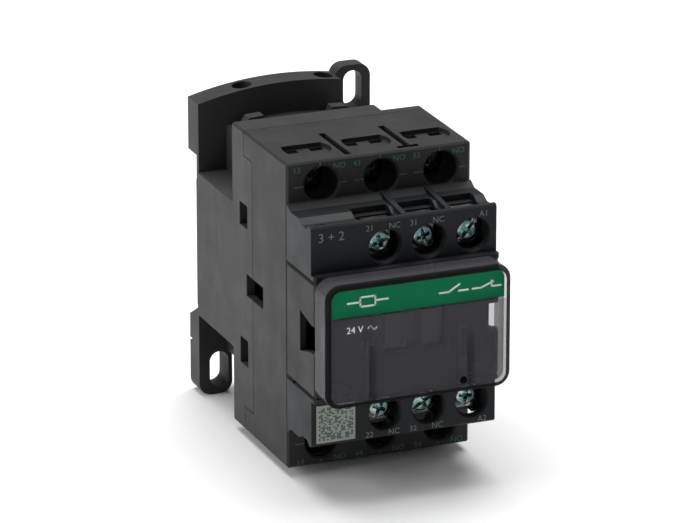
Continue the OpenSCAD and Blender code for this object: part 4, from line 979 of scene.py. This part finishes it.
def wind_springs(node_name, body, along, row_axis, count, turns):
    """Springs that fill the node's box: coiled along one axis, and set in a row along another."""
    low_corner, size_box = low(node_name), high(node_name) - low(node_name)
    across = min(size_box[axis] for axis in (X_AXIS, Y_AXIS, Z_AXIS) if axis != along)
    start, step = middle(node_name), Vector((0.0, 0.0, 0.0))
    start[along] = low_corner[along] + SPRING_WIRE / 2
    if count > 1:
        start[row_axis] = low_corner[row_axis] + across / 2
        step[row_axis] = (size_box[row_axis] - across) / (count - 1)
    mesh = grown(spring_tree, {
        "Radius": (across - SPRING_SPARE - SPRING_WIRE) / 2, "Wire Radius": SPRING_WIRE / 2,
        "Turns": float(turns), "Length": size_box[along] - SPRING_WIRE,
        "Tilt": (-math.pi / 2 if along == Y_AXIS else 0.0, 0.0, 0.0), "Count": count,
        "Start": tuple(start), "Step": tuple(step), "Material": spring_wire})
    return register("wound_" + node_name, soften(mesh, 40), body, None, [node_name])


def shorten(piece):
    """Gives a spring a mesh of its own."""
    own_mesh(piece)


RETURN, OPEN, CLOSED, CLIP = "return_springs", "no_contact_springs", "nc_contact_springs", "clip_spring"
return_coils = wind_springs(RETURN, "casing", Y_AXIS, Z_AXIS, 2, 7)
shorten(return_coils)
open_coils = wind_springs(OPEN, "carrier", Y_AXIS, X_AXIS, 3, 3)
shorten(open_coils)
wind_springs(CLOSED, "carrier", Y_AXIS, X_AXIS, 2, 3)
clip_coil = wind_springs(CLIP, "casing", Z_AXIS, X_AXIS, 1, 7)
shorten(clip_coil)

# %% [markdown]
# ## Printed marks
# A contactor's terminals are numbered by a common rule: the poles in tens, with 3 and 4 for a normally open
# pair and 1 and 2 for a normally closed one, and A1 and A2 for the coil. Above each power hole is a tick,
# and at each side a dash. The ticks and dashes repeat, so a small tree repeats a bar along a line.

# %% Build the tree for repeated bars
bar_tree, given = growth_tree("repeated_bars", {
    "Size": VECTOR, "Count": INT, "Start": VECTOR, "Step": VECTOR, "Material": MATERIAL})
one_bar = made(bar_tree, "GeometryNodeMeshCube", {"Size": given["Size"]})
close_growth(bar_tree, in_a_row(bar_tree, given, one_bar), given["Material"])

# %% Print the ticks and dashes
INK, SUNK = 0.03 * MM, 0.01 * MM
power_ink_y = power_face - INK / 2 + SUNK


def power_bars(row_names, dx, dz, width, height):
    """One bar beside each screw of a row."""
    first, second = middle("screw_" + row_names[0]), middle("screw_" + row_names[1])
    return grown(bar_tree, {
        "Size": (width, INK, height), "Count": len(row_names),
        "Start": (first.x + dx, power_ink_y, first.z + dz), "Step": (second.x - first.x, 0.0, 0.0),
        "Material": teal_ink})


bar_meshes = [power_bars(row_names, *(v * MM for v in bar))
              for row_names, side in ((POWER_UP, 1), (POWER_LOW, -1))
              for bar in ((-0.35, side * 4.75, 0.22, 0.9), (-5.5, -0.1, 2.4, 0.2), (5.2, -0.1, 1.8, 0.2))]
register("printed_bars", joined(bar_meshes), "casing")

# %% [markdown]
# The numbers are text objects with a hair of thickness. They are turned into meshes while still flat at the
# origin, scaled to the height of a printed capital, and only then stood up on the face.

# %% Print the numbers
def printed(words, x, z, face_y, capital):
    """Words as a thin mesh that stands on a face which looks to -Y, centred at x and z."""
    text = bpy.data.curves.new("words", "FONT")
    text.body = words
    text.align_x, text.align_y = "CENTER", "CENTER"
    text.resolution_u = 3
    text.extrude = 0.5
    mesh = flattened(hosted("words", text))
    heights = [v.co.y for v in mesh.vertices]
    size = capital / (max(heights) - min(heights))
    middle_y = (max(heights) + min(heights)) / 2
    mesh.transform(Matrix.Diagonal((size, size, INK, 1)) @ Matrix.Translation((0, -middle_y, 0)))
    mesh.transform(Matrix.Translation((x, face_y - INK / 2 + SUNK, z)) @ Matrix.Rotation(math.pi / 2, 4, "X"))
    return mesh


CAPITAL = 1.35 * MM
words, face_of = {"power": [], "front": []}, {"power": power_face, "front": front_face}
for row_names, tier, dz, number_dx, kind, kind_dx in (
        (POWER_UP, "power", 3.95, -6.0, "NO", 4.3), (POWER_LOW, "power", -4.5, -5.4, "NO", 4.3),
        (FRONT_UP, "front", 4.75, -3.8, "NC", 2.2), (FRONT_LOW, "front", -4.75, -3.8, "NC", 2.2)):
    for name in row_names:
        spot = middle("screw_" + name)
        pair = [(name.upper(), 2.6)] if name.startswith("a") else [(name, number_dx), (kind, kind_dx)]
        words[tier] += [printed(word, spot.x + dx * MM, spot.z + dz * MM, face_of[tier], CAPITAL)
                        for word, dx in pair]
words["front"].append(printed("3 + 2", -17.6 * MM, 23.4 * MM, front_face, 2.1 * MM))
register("power_numbers", joined(words["power"]), "casing", teal_ink)
register("front_numbers", joined(words["front"]), "casing", grey_ink)

# %% [markdown]
# On the band stand plain circuit symbols, a coil on the left and an open and a closed contact on the right.
# They are strokes of even width, each a thin closed bar from one point to another.

# %% Draw the circuit symbols
def stroke(a, b, width, y0, y1):
    """A closed bar from (x, z) a to b in millimetres, between two depths in metres."""
    along = Vector((b[0] - a[0], b[1] - a[1])).normalized() * width / 2
    across = Vector((-along.y, along.x))
    start, end = Vector(a) - along, Vector(b) + along
    ring = [start - across, end - across, end + across, start + across]
    points = [(p.x * MM, y, p.y * MM) for y in (y0, y1) for p in ring]
    return simple_mesh("stroke", points, [(0, 1, 2, 3), (7, 6, 5, 4), (0, 4, 5, 1), (1, 5, 6, 2), (2, 6, 7, 3),
                                          (3, 7, 4, 0)])


def symbol(path_list, x, z, width, y):
    return [stroke((a[0] + x, a[1] + z), (b[0] + x, b[1] + z), width, y, y + 0.04 * MM)
            for path in path_list for a, b in zip(path, path[1:])]


band_ink_y = low("cover_band").y - 0.012 * MM
coil_symbol = [[(0, 0), (3, 0)], [(3, -1.1), (3, 1.1), (6.6, 1.1), (6.6, -1.1), (3, -1.1)],
               [(6.6, 0), (9.6, 0)]]
open_contact = [[(0, 0), (2.1, 0), (4.7, 1.5)], [(4.7, 0), (6.8, 0)]]
closed_contact = [[(0, 0), (2.1, 0), (4.9, 1.1)], [(4.6, 0), (6.8, 0)], [(4.6, 0), (4.6, 1.3)]]
STROKE = 0.42
symbols = [*symbol(coil_symbol, -16.8, 10.1, STROKE, band_ink_y),
           *symbol(open_contact, 5.4, 9.6, STROKE, band_ink_y),
           *symbol(closed_contact, 13.4, 9.6, STROKE, band_ink_y)]
wave = [[(t * 0.25, 0.45 * math.sin(t * math.pi / 4)) for t in range(9)]]
symbols += symbol(wave, -12.4, 4.2, 0.3, cover_low.y - 0.03 * MM)
volts = printed("24 V", -15.6 * MM, 4.2 * MM, cover_low.y, 1.5 * MM)
register("band_symbols", joined([*symbols, volts]), "front_cover", white_ink)

# %% [markdown]
# ## The data label
# A small foil label carries a block of dense print. Here it is a plain pattern of dashes that says nothing:
# a grid of points, of which a fixed seed drops about half, and a short bar on each that is left.

# %% Grow the label's print
dash_tree, given = growth_tree("label_dashes", {
    "Width": FLOAT, "Height": FLOAT, "Columns": INT, "Rows": INT, "Dash": VECTOR, "Dropped": FLOAT, "Seed": INT,
    "Place": VECTOR, "Material": MATERIAL})
label_grid = made(dash_tree, "GeometryNodeMeshGrid", {
    "Size X": given["Width"], "Size Y": given["Height"], "Vertices X": given["Columns"],
    "Vertices Y": given["Rows"]})
chance = put(dash_tree, "FunctionNodeRandomValue", {"Probability": given["Dropped"], "Seed": given["Seed"]},
             data_type="BOOLEAN").outputs[3]
kept = made(dash_tree, "GeometryNodeDeleteGeometry", {"Geometry": label_grid, "Selection": chance},
           domain="POINT", mode="ALL")
dash_bar = made(dash_tree, "GeometryNodeMeshCube", {"Size": given["Dash"]})
dashes = made(dash_tree, "GeometryNodeInstanceOnPoints", {"Points": kept, "Instance": dash_bar})
stood = made(dash_tree, "GeometryNodeTransform", {
    "Geometry": dashes, "Translation": given["Place"], "Rotation": (math.pi / 2, 0.0, 0.0)})
close_growth(dash_tree, stood, given["Material"])

label_low, label_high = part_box("data_label")
label_size = label_high - label_low
print_mesh = grown(dash_tree, {
    "Width": label_size.x - 1.5 * MM, "Height": label_size.z - 1.5 * MM, "Columns": 17, "Rows": 22,
    "Dash": (0.42 * MM, 0.26 * MM, INK), "Dropped": 0.5, "Seed": 7,
    "Place": (middle("data_label").x, label_low.y - INK / 2 + SUNK, middle("data_label").z),
    "Material": label_black})
register("label_print", print_mesh, "casing")
